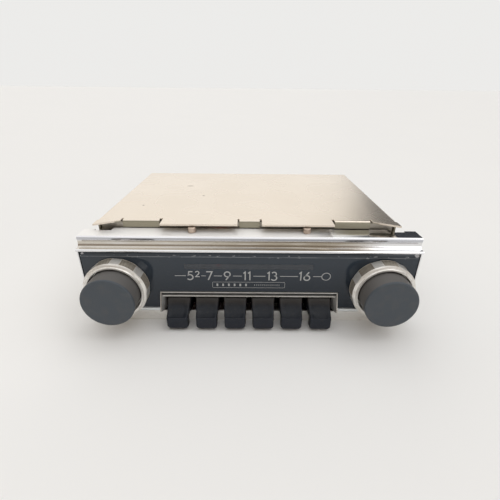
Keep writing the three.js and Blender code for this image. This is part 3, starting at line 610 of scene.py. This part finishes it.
def piece(name, bm, material, body="case", stands_for=(), bevel=0.0, smooth=35):
    bmesh.ops.recalc_face_normals(bm, faces=bm.faces)
    mesh = bpy.data.meshes.new(name)
    bm.to_mesh(mesh)
    bm.free()
    mesh.shade_smooth()
    mesh.set_sharp_from_angle(angle=math.radians(smooth))
    mesh.materials.append(material)
    obj = bpy.data.objects.new(name, mesh)
    scene.collection.objects.link(obj)
    if bevel:
        soften(obj, bevel)
    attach(obj, body)
    if stands_for:
        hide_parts(*stands_for)
    return obj


def soften(obj, width, segments=2):
    modifier = obj.modifiers.new("soft_edges", "BEVEL")
    modifier.width = width * MM
    modifier.segments = segments
    modifier.limit_method = "ANGLE"
    modifier.angle_limit = math.radians(30)
    modifier.harden_normals = True


def carve(obj, build):
    """Cuts the closed shapes that build adds to an empty mesh out of obj."""
    bm = bmesh.new()
    build(bm)
    bmesh.ops.recalc_face_normals(bm, faces=bm.faces)
    mesh = bpy.data.meshes.new("cutter")
    bm.to_mesh(mesh)
    bm.free()
    cutter = bpy.data.objects.new("cutter", mesh)
    scene.collection.objects.link(cutter)
    modifier = obj.modifiers.new("cut", "BOOLEAN")
    modifier.operation = "DIFFERENCE"
    modifier.solver = "EXACT"
    modifier.use_self = True
    modifier.object = cutter
    bpy.context.view_layer.update()
    result = bpy.data.meshes.new_from_object(obj.evaluated_get(bpy.context.evaluated_depsgraph_get()))
    obj.modifiers.remove(modifier)
    obj.data = result
    bpy.data.objects.remove(cutter)


# ---- sheet-metal case ----------------------------------------------------------------------------
COVER_LOW, COVER_HIGH = extent("top_cover")
BEND = 1.3
SHEET = 1.0
TAB_FACE = 14.2
TAB_LOW = 51.1
TONGUE_FRONT = 8.8
NOTCH_DEPTH = 2.6
TABS = ((-68.8, -49.0), (-6.0, 5.2), (45.6, 65.0))
BEFORE_TABS = ((-69.6, TAB_FACE), (-6.8, TONGUE_FRONT), (44.4, TONGUE_FRONT))
AFTER_TABS = ((-47.6, TONGUE_FRONT), (6.1, TONGUE_FRONT), (65.9, TAB_FACE))


def folded_cover():
    """The lid: a flat sheet with pointed ears, tongues and relief notches, its other edges turned down."""
    left, right, back, top = COVER_LOW.x, COVER_HIGH.x, COVER_HIGH.y, COVER_HIGH.z
    bm = bmesh.new()
    inset = TAB_FACE + BEND
    outline = []
    bends = []

    def go(x, y):
        outline.append((x, y))

    def notch(x0, x1, y0, y1):
        """A round-ended relief slot between x0 and x1, entered at y0 and left at y1."""
        radius = (x1 - x0) / 2
        middle = (x0 + x1) / 2
        go(x0, y0)
        for k in range(7):
            a = math.pi * (1 - k / 6)
            go(middle + radius * math.cos(a), TAB_FACE + NOTCH_DEPTH + radius * math.sin(a) * 0.8)
        go(x1, y1)

    def turn_down(direction, low):
        """Marks the edge from the last corner to the next as folded towards a direction, down to low."""
        bends.append((len(outline) - 1, len(outline), direction, low))

    go(left, COVER_LOW.y)
    for (x0, x1), (before, y0), (after, y1) in zip(TABS, BEFORE_TABS, AFTER_TABS):
        notch(before, x0, y0, inset)
        turn_down((0, -1), TAB_LOW)
        notch(x1, after, inset, y1)
    go(right, COVER_LOW.y)
    go(right, TAB_FACE)
    go(right - BEND, TAB_FACE)
    turn_down((1, 0), COVER_LOW.z)
    go(right - BEND, back - BEND)
    turn_down((0, 1), COVER_LOW.z)
    go(left + BEND, back - BEND)
    turn_down((-1, 0), COVER_LOW.z)
    go(left + BEND, TAB_FACE)
    go(left, TAB_FACE)
    flat = [bm.verts.new(point(x, y, top)) for x, y in outline]
    bm.faces.new(flat)
    angles = [math.pi / 12 * k for k in range(1, 7)]
    curl = [(BEND * math.sin(a), BEND * (1 - math.cos(a))) for a in angles]
    for first, second, (dx, dy), low in bends:
        row = [flat[first], flat[second]]
        ends = [outline[first], outline[second]]
        for out, down in [*curl, (BEND, top - low)]:
            new = [bm.verts.new(point(x + dx * out, y + dy * out, top - down)) for x, y in ends]
            bm.faces.new((row[0], row[1], new[1], new[0]))
            row = new
    obj = piece("lid", bm, PLATED, stands_for=["top_cover"], smooth=50)
    thick = obj.modifiers.new("sheet", "SOLIDIFY")
    thick.thickness = SHEET * MM
    thick.offset = -1
    thick.use_even_offset = True
    soften(obj, 0.18)
    return obj


folded_cover()


# ---- chrome trim ---------------------------------------------------------------------------------
TRIM_LOW, TRIM_HIGH = extent("trim_frame")
NUT_LOW, NUT_HIGH = extent("left_nut")
AXIS_X = (extent("right_nut")[0].x + extent("right_nut")[1].x) / 2
AXIS_Z = (NUT_LOW.z + NUT_HIGH.z) / 2
NUT_RADIUS = (NUT_HIGH.x - NUT_LOW.x) / 2
SIDES = (("left", -AXIS_X, "volume_knob"), ("right", AXIS_X, "tuning_knob"))
RAIL_TOP = 8.6
SIDE_DEPTH = 12.0
SIDE_TOP = 44.8
BEZEL_LOW, BEZEL_HIGH = extent("key_bezel")
KEYS_X = (BEZEL_LOW.x + BEZEL_HIGH.x) / 2
BEZEL_HALF = (BEZEL_HIGH.x - BEZEL_LOW.x) / 2


def chrome_trim():
    half, top, rear = TRIM_HIGH.x, TRIM_HIGH.z, TRIM_HIGH.y
    bm = bmesh.new()
    channel = [
        (rear, top), (3.2, top), (2.2, 49.9), (2.45, 48.8), (2.7, 47.6),
        (2.5, 46.4), (2.1, 45.4), (1.2, 44.9), (-0.7, 44.9), (-1.45, 44.4),
        (-1.45, 43.8), (-1.0, 43.6), (4.0, 43.6), (4.0, 49.7), (rear, 49.7),
    ]
    radii = [0.3, 0.8, 0.5, 0.5, 1.2, 0.8, 0.4, 0.3, 0.5, 0.4, 0.3, 0.2, 0.2, 0.8, 0.2]
    prism(bm, fillet(channel, radii, 6), "x", -half, half)
    for side in (-1, 1):
        outer = half * side
        for thick, front in ((0.6, -0.3), (1.7, 3.3)):
            x0, x1 = sorted((outer, outer - thick * side))
            block(bm, x0, x1, front, SIDE_DEPTH, TRIM_LOW.z, SIDE_TOP)
        block(bm, x0, x1, 2.9, SIDE_DEPTH, SIDE_TOP, top - 0.9)
        x0, x1 = sorted((KEYS_X + (BEZEL_HALF + 0.4) * side, outer))
        rail = [(-0.8, TRIM_LOW.z), (3.0, TRIM_LOW.z), (3.0, RAIL_TOP), (-0.8, RAIL_TOP)]
        prism(bm, fillet(rail, [0.55, 0, 0, 0.55], 5), "x", x0, x1)
    obj = piece("trim", bm, CHROME, stands_for=["trim_frame"], smooth=40)

    def cutters(bm):
        well = NUT_RADIUS + 0.3
        for _, x, _ in SIDES:
            lathe(bm, [(0, -4), (well, -4), (well, 0), (0, 0)], (x, AXIS_Z), 96, False)
        for side in (-1, 1):
            for near, far, start in ((74, 83, 10.5), (83, 91, 12.0)):
                x0, x1 = sorted((near * side, far * side))
                block(bm, x0, x1, start, 20, 49.3, 53)

    carve(obj, cutters)
    soften(obj, 0.12)


chrome_trim()


# ---- dial ----------------------------------------------------------------------------------------
GLASS_LOW, GLASS_HIGH = extent("dial_glass")
GLASS_BEVEL = 40.5
WINDOW_BOX = (-34.8, 33.5, 33.3, 36.4)
SPINDLE_HOLE = 5.6


def dial_panel():
    bm = bmesh.new()
    low, high = GLASS_LOW.z, GLASS_HIGH.z
    profile = [(0, low), (0, GLASS_BEVEL), (0.9, high), (3.0, high), (3.0, low)]
    prism(bm, profile, "x", GLASS_LOW.x, GLASS_HIGH.x)
    obj = piece("dial_panel", bm, SMOKED, stands_for=["dial_glass"])

    def cutters(bm):
        block(bm, BEZEL_LOW.x - 0.3, BEZEL_HIGH.x + 0.3, -2, 5, 0, BEZEL_HIGH.z + 0.3)
        x0, x1, z0, z1 = WINDOW_BOX
        block(bm, x0, x1, -2, 5, z0, z1, 0.4)
        for _, x, _ in SIDES:
            lathe(bm, [(0, -2), (SPINDLE_HOLE, -2), (SPINDLE_HOLE, 5), (0, 5)], (x, AXIS_Z), 48, False)

    carve(obj, cutters)
    soften(obj, 0.10)


def dial_window():
    x0, x1, z0, z1 = WINDOW_BOX
    bm = bmesh.new()
    block(bm, x0 + 0.02, x1 - 0.02, 0.02, 0.5, z0 + 0.02, z1 - 0.02, 0.4)
    piece("dial_window", bm, WINDOW)


dial_panel()
dial_window()


def curve(cx, cz, rx, rz, start, end, steps=18):
    """Points on an ellipse between two angles in degrees."""
    turn = [math.radians(start + (end - start) * k / steps) for k in range(steps + 1)]
    return [(cx + rx * math.cos(a), cz + rz * math.sin(a)) for a in turn]


# Each figure is a list of strokes in a box one unit high.
FIGURES = {
    "1": [[(0.02, 0.80), (0.20, 0.97), (0.20, 0.0)]],
    "2": [curve(0.32, 0.70, 0.27, 0.27, 165, -38) + [(0.05, 0.03), (0.66, 0.03)]],
    "3": [curve(0.26, 0.74, 0.23, 0.23, 150, -75), curve(0.25, 0.27, 0.29, 0.27, 88, -150)],
    "5": [[(0.58, 0.97), (0.22, 0.97), (0.13, 0.57)] + curve(0.28, 0.32, 0.32, 0.30, 112, -140)],
    "6": [curve(0.34, 0.30, 0.30, 0.28, 0, 360), [(0.52, 0.99), (0.13, 0.46)]],
    "7": [[(0.02, 0.97), (0.62, 0.97), (0.20, 0.0)]],
    "9": [curve(0.34, 0.68, 0.30, 0.29, 0, 360), [(0.56, 0.50), (0.18, 0.0)]],
}
INK_THICK = 0.04


def ribbon(bm, path, width, depth=INK_THICK):
    """A flat printed stroke along a path on the dial's face."""
    loop = (Vector(path[0]) - Vector(path[-1])).length < 1e-6
    line = [Vector(p) for p in (path[:-1] if loop else path)]
    count = len(line)
    sides = ([], [])
    for i, here in enumerate(line):
        back = line[i - 1] if i or loop else None
        ahead = line[(i + 1) % count] if i < count - 1 or loop else None
        into = (here - back).normalized() if back is not None else (ahead - here).normalized()
        out = (ahead - here).normalized() if ahead is not None else into
        along = (into + out).normalized()
        across = Vector((-along.y, along.x)) / max(along.dot(into), 0.45)
        for side, sign in zip(sides, (1, -1)):
            x, z = here + across * width / 2 * sign
            side.append([bm.verts.new(point(x, y, z)) for y in (-depth, 0.0)])
    last = count if loop else count - 1
    left, right = sides
    for i in range(last):
        j = (i + 1) % count
        bm.faces.new((left[i][0], left[j][0], right[j][0], right[i][0]))
        bm.faces.new((left[i][1], left[j][1], left[j][0], left[i][0]))
        bm.faces.new((right[i][0], right[j][0], right[j][1], right[i][1]))
        bm.faces.new((right[i][1], right[j][1], left[j][1], left[i][1]))
    if not loop:
        for i in (0, count - 1):
            bm.faces.new((left[i][0], left[i][1], right[i][1], right[i][0]))


def dial_scale():
    """Numbers joined by dashes, and a ring at the end of the scale."""
    low, high = 26.7, 31.9
    middle = 29.2
    height = high - low
    stroke = 0.62
    bm = bmesh.new()
    figures = [
        ("5", -33.6, low, height), ("2", -29.2, 28.6, 3.45), ("7", -23.4, low, height),
        ("9", -13.9, low, height), ("1", -3.6, low, height), ("1", -1.1, low, height),
        ("1", 9.2, low, height), ("3", 11.5, low, height), ("1", 26.2, low, height),
        ("6", 28.7, low, height),
    ]
    for figure, x, z, size in figures:
        for path in FIGURES[figure]:
            ribbon(bm, [(x + u * size, z + v * size) for u, v in path], stroke if size == height else 0.52)
    dashes = [
        (-40.1, -34.3), (-26.0, -23.6), (-19.3, -15.0), (-9.1, -4.4), (1.8, 8.2), (16.0, 25.7), (33.8, 38.3),
    ]
    for x0, x1 in dashes:
        ribbon(bm, [(x0, middle), (x1, middle)], 0.32)
    ribbon(bm, curve(40.75, middle, 2.3, 2.2, 0, 360, 40), 0.34)
    piece("dial_scale", bm, INK, smooth=30)


def dial_badge():
    """A thin rounded box with plain tick marks in it."""
    x0, x1, z0, z1 = -20.2, 18.9, 21.9, 25.4
    bm = bmesh.new()
    box = fillet([(x0, z0), (x1, z0), (x1, z1), (x0, z1)], 0.7, 5)
    ribbon(bm, box + [box[0]], 0.16)
    centre = (z0 + z1) / 2
    for k in range(6):
        x = -17.6 + k * 3.1
        ribbon(bm, [(x, centre - 0.75), (x, centre + 0.75)], 0.9)
    for k in range(13):
        x = 2.6 + k * 1.1
        ribbon(bm, [(x, centre - 0.5), (x, centre + 0.5)], 0.22)
    piece("dial_badge", bm, INK, smooth=30)


dial_scale()
dial_badge()


# ---- key bezel -----------------------------------------------------------------------------------
INNER_TOP = 16.4
LINE = 0.6
INNER_LINE = 0.75
RIM_FRONT = -0.55


def cheek_front(z, top, low):
    """How far forward the bezel's cheeks stand at a height."""
    return RIM_FRONT + (BEZEL_LOW.y - RIM_FRONT) * (top - z) / (top - low)


def key_surround():
    """An outer line and an inner line over the keys, and rims that flare forward at both sides."""
    half, top, low = BEZEL_HIGH.x - KEYS_X, BEZEL_HIGH.z, BEZEL_LOW.z
    foot = low + 0.8
    bm = bmesh.new()
    outer = [(RIM_FRONT, top - LINE), (RIM_FRONT, top), (3.0, top), (3.0, top - LINE)]
    prism(bm, fillet(outer, [0.2, 0.2, 0, 0], 3), "x", KEYS_X - half, KEYS_X + half)
    ledge = INNER_TOP + INNER_LINE
    inner = [(-0.95, INNER_TOP), (-0.95, ledge), (3.0, ledge), (3.0, INNER_TOP)]
    prism(bm, fillet(inner, [0.25, 0.25, 0, 0], 3), "x", KEYS_X - half + 1.1, KEYS_X + half - 1.1)
    levels = (top - 0.05, INNER_TOP + 0.7, 13.0, foot, low)
    cheeks = bmesh.new()
    for side in (-1, 1):
        rim, cheek = [], []
        for z in levels:
            front = cheek_front(max(z, foot), top, foot) + (0.4 if z == low else 0)
            x0, x1 = KEYS_X + half * side, KEYS_X + (half - LINE) * side
            rim.append([(x0, front, z), (x1, front, z), (x1, 3.0, z), (x0, 3.0, z)])
            x0, x1 = KEYS_X + (half - LINE - 0.25) * side, KEYS_X + (half - 2.6) * side
            cheek.append([(x0, front + 0.1, z), (x1, 1.2, z), (x1, 3.0, z), (x0, 3.0, z)])
        loft(bm, rim)
        loft(cheeks, cheek[1:])
    piece("key_surround", bm, BEZEL, stands_for=["key_bezel"], bevel=0.08)
    piece("surround_cheeks", cheeks, SATIN, bevel=0.08)
    bm = bmesh.new()
    x0, x1 = KEYS_X - (half - LINE), KEYS_X + (half - LINE)
    z0, z1 = INNER_TOP + INNER_LINE, top - LINE
    prism(bm, [(x0, z0), (x0, z1), (x1, z1), (x1, z0)], "y", -0.05, 2.9)
    piece("surround_groove", bm, BLACK)


key_surround()


# ---- push keys -----------------------------------------------------------------------------------
KEY_SLICES = 26
KEY_PITCH = 15.35
ROOT_HALF = 6.6
NOSE_HALF = 5.5
OUTER_LEAN = 0.35
KEY_TOP = [
    (4.0, 16.0), (2.0, 16.0), (0.4, 15.9), (-1.3, 15.0),
    (-3.6, 12.4), (-6.2, 10.3), (-8.9, 9.1), (-9.8, 8.7),
]
KEY_NOSE = [
    (-9.8, 8.7), (-9.9, 8.3), (-9.9, 2.2), (-9.0, 1.1), (-6.4, 1.0), (-5.8, 1.8), (-5.6, 7.6), (4.0, 7.6),
]
KEY_NOSE_RADII = [0, 0.3, 0.9, 0.6, 0.4, 0.4, 0, 0]
KEY_REAR = 5.0
KEY_REACH = 15.9
DISH_DEPTH = 0.75
UNDERSIDE_ARCH = 0.9


def spline(points, steps):
    """Catmull-Rom samples through the points."""
    out = []
    for i in range(len(points) - 1):
        p0 = Vector(points[max(i - 1, 0)])
        p1, p2 = Vector(points[i]), Vector(points[i + 1])
        p3 = Vector(points[min(i + 2, len(points) - 1)])
        for k in range(steps):
            t = k / steps
            blend = 2 * p1 + (p2 - p0) * t + (2 * p0 - 5 * p1 + 4 * p2 - p3) * t * t
            blend += (3 * p1 - p0 - 3 * p2 + p3) * t ** 3
            out.append(tuple(blend / 2))
    out.append(tuple(points[-1]))
    return out


def smoothstep(low, high, value):
    t = min(1.0, max(0.0, (value - low) / (high - low)))
    return t * t * (3 - 2 * t)


def key_profile():
    """(y, z, dish) round the key's side view; dish is how far along the pressed face a point is, or None."""
    top = spline(KEY_TOP, 4)
    ring = [(y, z, k / (len(top) - 1)) for k, (y, z) in enumerate(top)]
    nose = fillet(KEY_NOSE, KEY_NOSE_RADII, 3)
    return ring + [(y, z, None) for y, z in nose[1:]]


def push_key(number):
    node = f"key_{number}"
    centre = KEYS_X + (number - 3.5) * KEY_PITCH
    lean = OUTER_LEAN * (1 if number == 6 else -1) if number in (1, 6) else 0.0
    ring = key_profile()
    count = len(ring)
    bm = bmesh.new()
    slices = []
    for k in range(KEY_SLICES + 1):
        t = math.sin(math.pi * (k / KEY_SLICES - 0.5))
        row = []
        for i, (y, z, dish) in enumerate(ring):
            forward = (KEY_REAR - y) / KEY_REACH
            half = ROOT_HALF + (NOSE_HALF - ROOT_HALF) * forward
            round_off = 0.35 + 0.35 * forward
            rim = max(0.0, (abs(t) - 1 + round_off / half) / (round_off / half))
            inward = round_off * (1 - math.sqrt(max(0.0, 1 - min(rim, 1.0) ** 2)))
            before, after = Vector(ring[i - 1][:2]), Vector(ring[(i + 1) % count][:2])
            along = (after - before).normalized()
            y_in, z_in = y - along.y * inward, z + along.x * inward
            if dish is not None:
                arch = 0.33 + 0.20 * (t / 0.9) ** 2
                hollow = smoothstep(arch, arch + 0.2, dish) * (1 - smoothstep(0.86, 0.97, dish))
                hollow *= 1 - smoothstep(0.45, 0.93, abs(t))
                z_in -= DISH_DEPTH * hollow
            elif z < 4 and y < -4.9:
                z_in += UNDERSIDE_ARCH * smoothstep(0.62, 1.0, abs(t)) ** 2
            row.append(bm.verts.new(point(centre + lean * forward + half * t, y_in, z_in)))
        slices.append(row)
    for one, two in zip(slices, slices[1:]):
        for i in range(count):
            j = (i + 1) % count
            bm.faces.new((one[i], one[j], two[j], two[i]))
    bm.faces.new(slices[0])
    bm.faces.new(slices[-1])
    piece(f"push_key_{number}", bm, KEY, f"key_button_{number}", [node], smooth=42)


for key_number in range(1, 7):
    push_key(key_number)


# ---- knobs and nuts ------------------------------------------------------------------------------
FLATS = 8
FLAT_REACH = 16.3
FLAT_TURN = {"left": math.radians(6), "right": math.radians(27.5)}
KNURL_PITCH = math.radians(2.8)
KNURL_DEPTH = 0.30
KNURL_LEAN = 0.03
GRIP_FRONT = 6.6
GRIP_REAR = 0.8
GRIP_INSIDE = 15.5


def flat_at(side, angle):
    """Distance from the axis to the nearest of the nut's flats, at an angle."""
    sector = 2 * math.pi / FLATS
    off = (angle - FLAT_TURN[side] + sector / 2) % sector - sector / 2
    return FLAT_REACH / math.cos(off)


def knurl(side, angle, radius, y):
    """Radius of the nut's grip band at an angle: diamond knurl broken by plain flats."""
    if radius < GRIP_INSIDE or y > -0.5:
        return radius
    flat = flat_at(side, angle)
    if flat < radius + 0.02:
        return flat
    if y < 0.2 - GRIP_FRONT or y > -GRIP_REAR:
        return radius
    lean = y * KNURL_LEAN
    one = abs(((angle + lean) / KNURL_PITCH) % 1.0 - 0.5) * 2
    two = abs(((angle - lean) / KNURL_PITCH) % 1.0 - 0.5) * 2
    return radius - KNURL_DEPTH * (0.7 * max(one, two) + 0.3 * one)


def ring_nut(side, x):
    node = f"{side}_nut"
    profile = [(5.3, -0.3), (16.2, -0.3), (NUT_RADIUS - 0.02, -0.6)]
    profile += [(NUT_RADIUS, -0.9 - (GRIP_FRONT - 1.2) * k / 14) for k in range(15)]
    profile += [
        (NUT_RADIUS, -GRIP_FRONT), (16.1, -6.95), (15.5, -7.35), (15.1, -7.45),
        (15.05, -7.7), (15.15, -7.85), (15.1, -8.2), (14.9, -8.4),
        (14.2, -8.4), (13.95, -8.2), (13.5, -3.0), (5.3, -3.0),
    ]
    bm = bmesh.new()
    lathe(bm, profile, (x, AXIS_Z), 1024, True, lambda angle, radius, y: knurl(side, angle, radius, y))
    axis = point(x, 0, AXIS_Z)
    for face in bm.faces:
        offset = (face.calc_center_median() - axis) / MM
        angle = math.atan2(offset.x, offset.z)
        grip = 0.1 - GRIP_FRONT < offset.y < -0.6 and math.hypot(offset.x, offset.z) > 15.6
        face.material_index = 0 if grip and flat_at(side, angle) > NUT_RADIUS else 1
    nut = piece(f"ring_nut_{side}", bm, KNURLED, "case", [node], smooth=38)
    nut.data.materials.append(POLISHED)


def round_knob(side, x, body):
    node = f"{side}_knob"
    low, high = extent(node)
    radius = (high.x - low.x) / 2
    front, rear = low.y, high.y
    bore, bore_end = 3.3, -14.6
    edge = 0.9
    profile = [(0.0, front + 0.12), (radius * 0.5, front + 0.10)]
    profile += [(radius - 1.6, front + 0.02), (radius - edge, front)]
    for k in range(1, 7):
        a = math.pi / 12 * k
        profile.append((radius - edge + edge * math.sin(a), front + edge * (1 - math.cos(a))))
    profile += [
        (radius - 0.12, -12.0), (radius - 0.2, -8.0), (radius - 0.3, rear + 0.4), (radius - 0.6, rear),
        (bore, rear), (bore, bore_end), (0.0, bore_end),
    ]
    bm = bmesh.new()
    lathe(bm, profile, (x, AXIS_Z), 128, False)
    piece(f"round_knob_{side}", bm, KNOB, body, [node], smooth=40)


for knob_side, knob_x, knob_body in SIDES:
    ring_nut(knob_side, knob_x)
    round_knob(knob_side, knob_x, knob_body)


# ---- finishes and soft edges of the CAD pieces that stay -----------------------------------------
CAD_FINISH = {
    CHASSIS: ["chassis_frame"],
    STRIP: ["bottom_cover"],
    # Painted shade: the key frame and key slides get the near-black steel.
    SHADE_DARK_STEEL: ["key_frame", *[f"key_slide_{n}" for n in range(1, 7)]],
    STEEL: [
        "return_spring", "left_shaft", "right_shaft", "spindle_bracket", "pointer_rail", "tuner_frame",
        "output_transformer", "antenna_socket", "rear_stud", "stud_nut",
        *[f"cover_screw_{n}" for n in range(1, 5)],
    ],
    BRASS: [
        "trim_screw_left", "trim_screw_right", "left_bushing", "right_bushing", "lead_screw",
        "pulley_left", "pulley_right",
    ],
    BLACK: ["volume_control", "pointer_carriage", "power_socket"],
    RED: ["dial_pointer"],
    WHITE: ["dial_backplate"],
    LAMP: ["dial_lamp"],
    CORD: ["dial_cord"],
    BOARD: ["circuit_board"],
    ALUMINIUM: ["if_can_1", "if_can_2", "filter_capacitor", "heat_sink"],
    COPPER: ["tuning_coil_1", "tuning_coil_2", "tuning_coil_3"],
    FERRITE: ["core_carriage"],
}
for finish, names in CAD_FINISH.items():
    for name in names:
        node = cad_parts[name]
        node.data.materials.clear()
        node.data.materials.append(finish)
        soften(node, 0.15)


# ---- floor and light -----------------------------------------------------------------------------
FLOOR_HALF = 60000


def make_floor():
    square = ((-1, -1), (1, -1), (1, 1), (-1, 1))
    bm = bmesh.new()
    bm.faces.new([bm.verts.new(point(x * FLOOR_HALF, y * FLOOR_HALF, 0)) for x, y in square])
    mesh = bpy.data.meshes.new("floor")
    bm.to_mesh(mesh)
    bm.free()
    mesh.materials.append(floor_paper())
    floor = bpy.data.objects.new("floor", mesh)
    scene.collection.objects.link(floor)


def make_world():
    """A pale studio: soft white all round, a dim corner behind on the right, a warm room in front."""
    world = bpy.data.worlds.new("studio")
    world.use_nodes = True
    scene.world = world
    nodes, links = world.node_tree.nodes, world.node_tree.links
    background = nodes["Background"]

    def add(kind, **settings):
        node = nodes.new(kind)
        for key, value in settings.items():
            setattr(node, key, value)
        return node

    def calc(operation, a, b=0.0):
        node = add("ShaderNodeMath", operation=operation)
        for socket, value in zip(node.inputs, (a, b)):
            if isinstance(value, (int, float)):
                socket.default_value = value
            else:
                links.new(value, socket)
        return node.outputs[0]

    def step(value, low, high):
        node = add("ShaderNodeMapRange", interpolation_type="SMOOTHSTEP")
        links.new(value, node.inputs["Value"])
        node.inputs["From Min"].default_value = low
        node.inputs["From Max"].default_value = high
        return node.outputs["Result"]

    def blend(mask, under, over):
        node = add("ShaderNodeMix", data_type="RGBA")
        links.new(mask, node.inputs["Factor"])
        for socket, value in (("A", under), ("B", over)):
            if isinstance(value, tuple):
                node.inputs[socket].default_value = (*value, 1)
            else:
                links.new(value, node.inputs[socket])
        return node.outputs["Result"]

    direction = add("ShaderNodeSeparateXYZ")
    links.new(add("ShaderNodeTexCoord").outputs["Generated"], direction.inputs[0])
    x, y, z = direction.outputs
    azimuth = calc("ARCTAN2", x, y)
    plain = (0.84, 0.835, 0.82)
    color = blend(step(z, 0.35, 0.70), (0.80, 0.795, 0.78), (1.10, 1.10, 1.10))
    behind = calc("MULTIPLY", step(y, 0.0, 0.35), calc("MULTIPLY", step(z, 0.02, 0.14), step(z, 0.85, 0.60)))
    color = blend(behind, color, (1.04, 1.02, 0.98))
    warm_side = calc("MULTIPLY", step(x, -0.35, -0.75), step(z, 0.75, 0.45))
    color = blend(warm_side, color, (0.86, 0.77, 0.66))
    front = calc("MULTIPLY", step(y, 0.15, -0.30), step(z, 0.80, 0.45))
    color = blend(front, color, (0.37, 0.32, 0.275))
    corner = calc("MULTIPLY", step(azimuth, 0.27, 0.42), step(azimuth, 1.9, 1.3))
    corner = calc("MULTIPLY", corner, calc("MULTIPLY", step(z, 0.10, 0.19), step(z, 0.90, 0.65)))
    color = blend(corner, color, (0.05, 0.053, 0.058))
    window = calc("MULTIPLY", step(azimuth, 2.46, 2.49), step(azimuth, 2.78, 2.75))
    window = calc("MULTIPLY", window, calc("MULTIPLY", step(z, -0.06, -0.03), step(z, 0.34, 0.31)))
    color = blend(window, color, (1.7, 1.7, 1.75))
    path = add("ShaderNodeLightPath")
    color = blend(path.outputs["Is Camera Ray"], color, plain)
    links.new(color, background.inputs["Color"])


def sun(name, place, spread, strength, color):
    """Even light over the whole floor from a wide source far away in one direction."""
    data = bpy.data.lights.new(name, "SUN")
    data.angle = spread
    data.energy = strength
    data.color = color
    lamp = bpy.data.objects.new(name, data)
    lamp.location = place
    lamp.rotation_mode = "QUATERNION"
    lamp.rotation_quaternion = Vector(place).to_track_quat("Z", "Y")
    scene.collection.objects.link(lamp)


make_floor()
make_world()
sun("key_light", (0.70, 0.16, 0.96), 0.80, 0.62, (1.0, 0.99, 0.97))
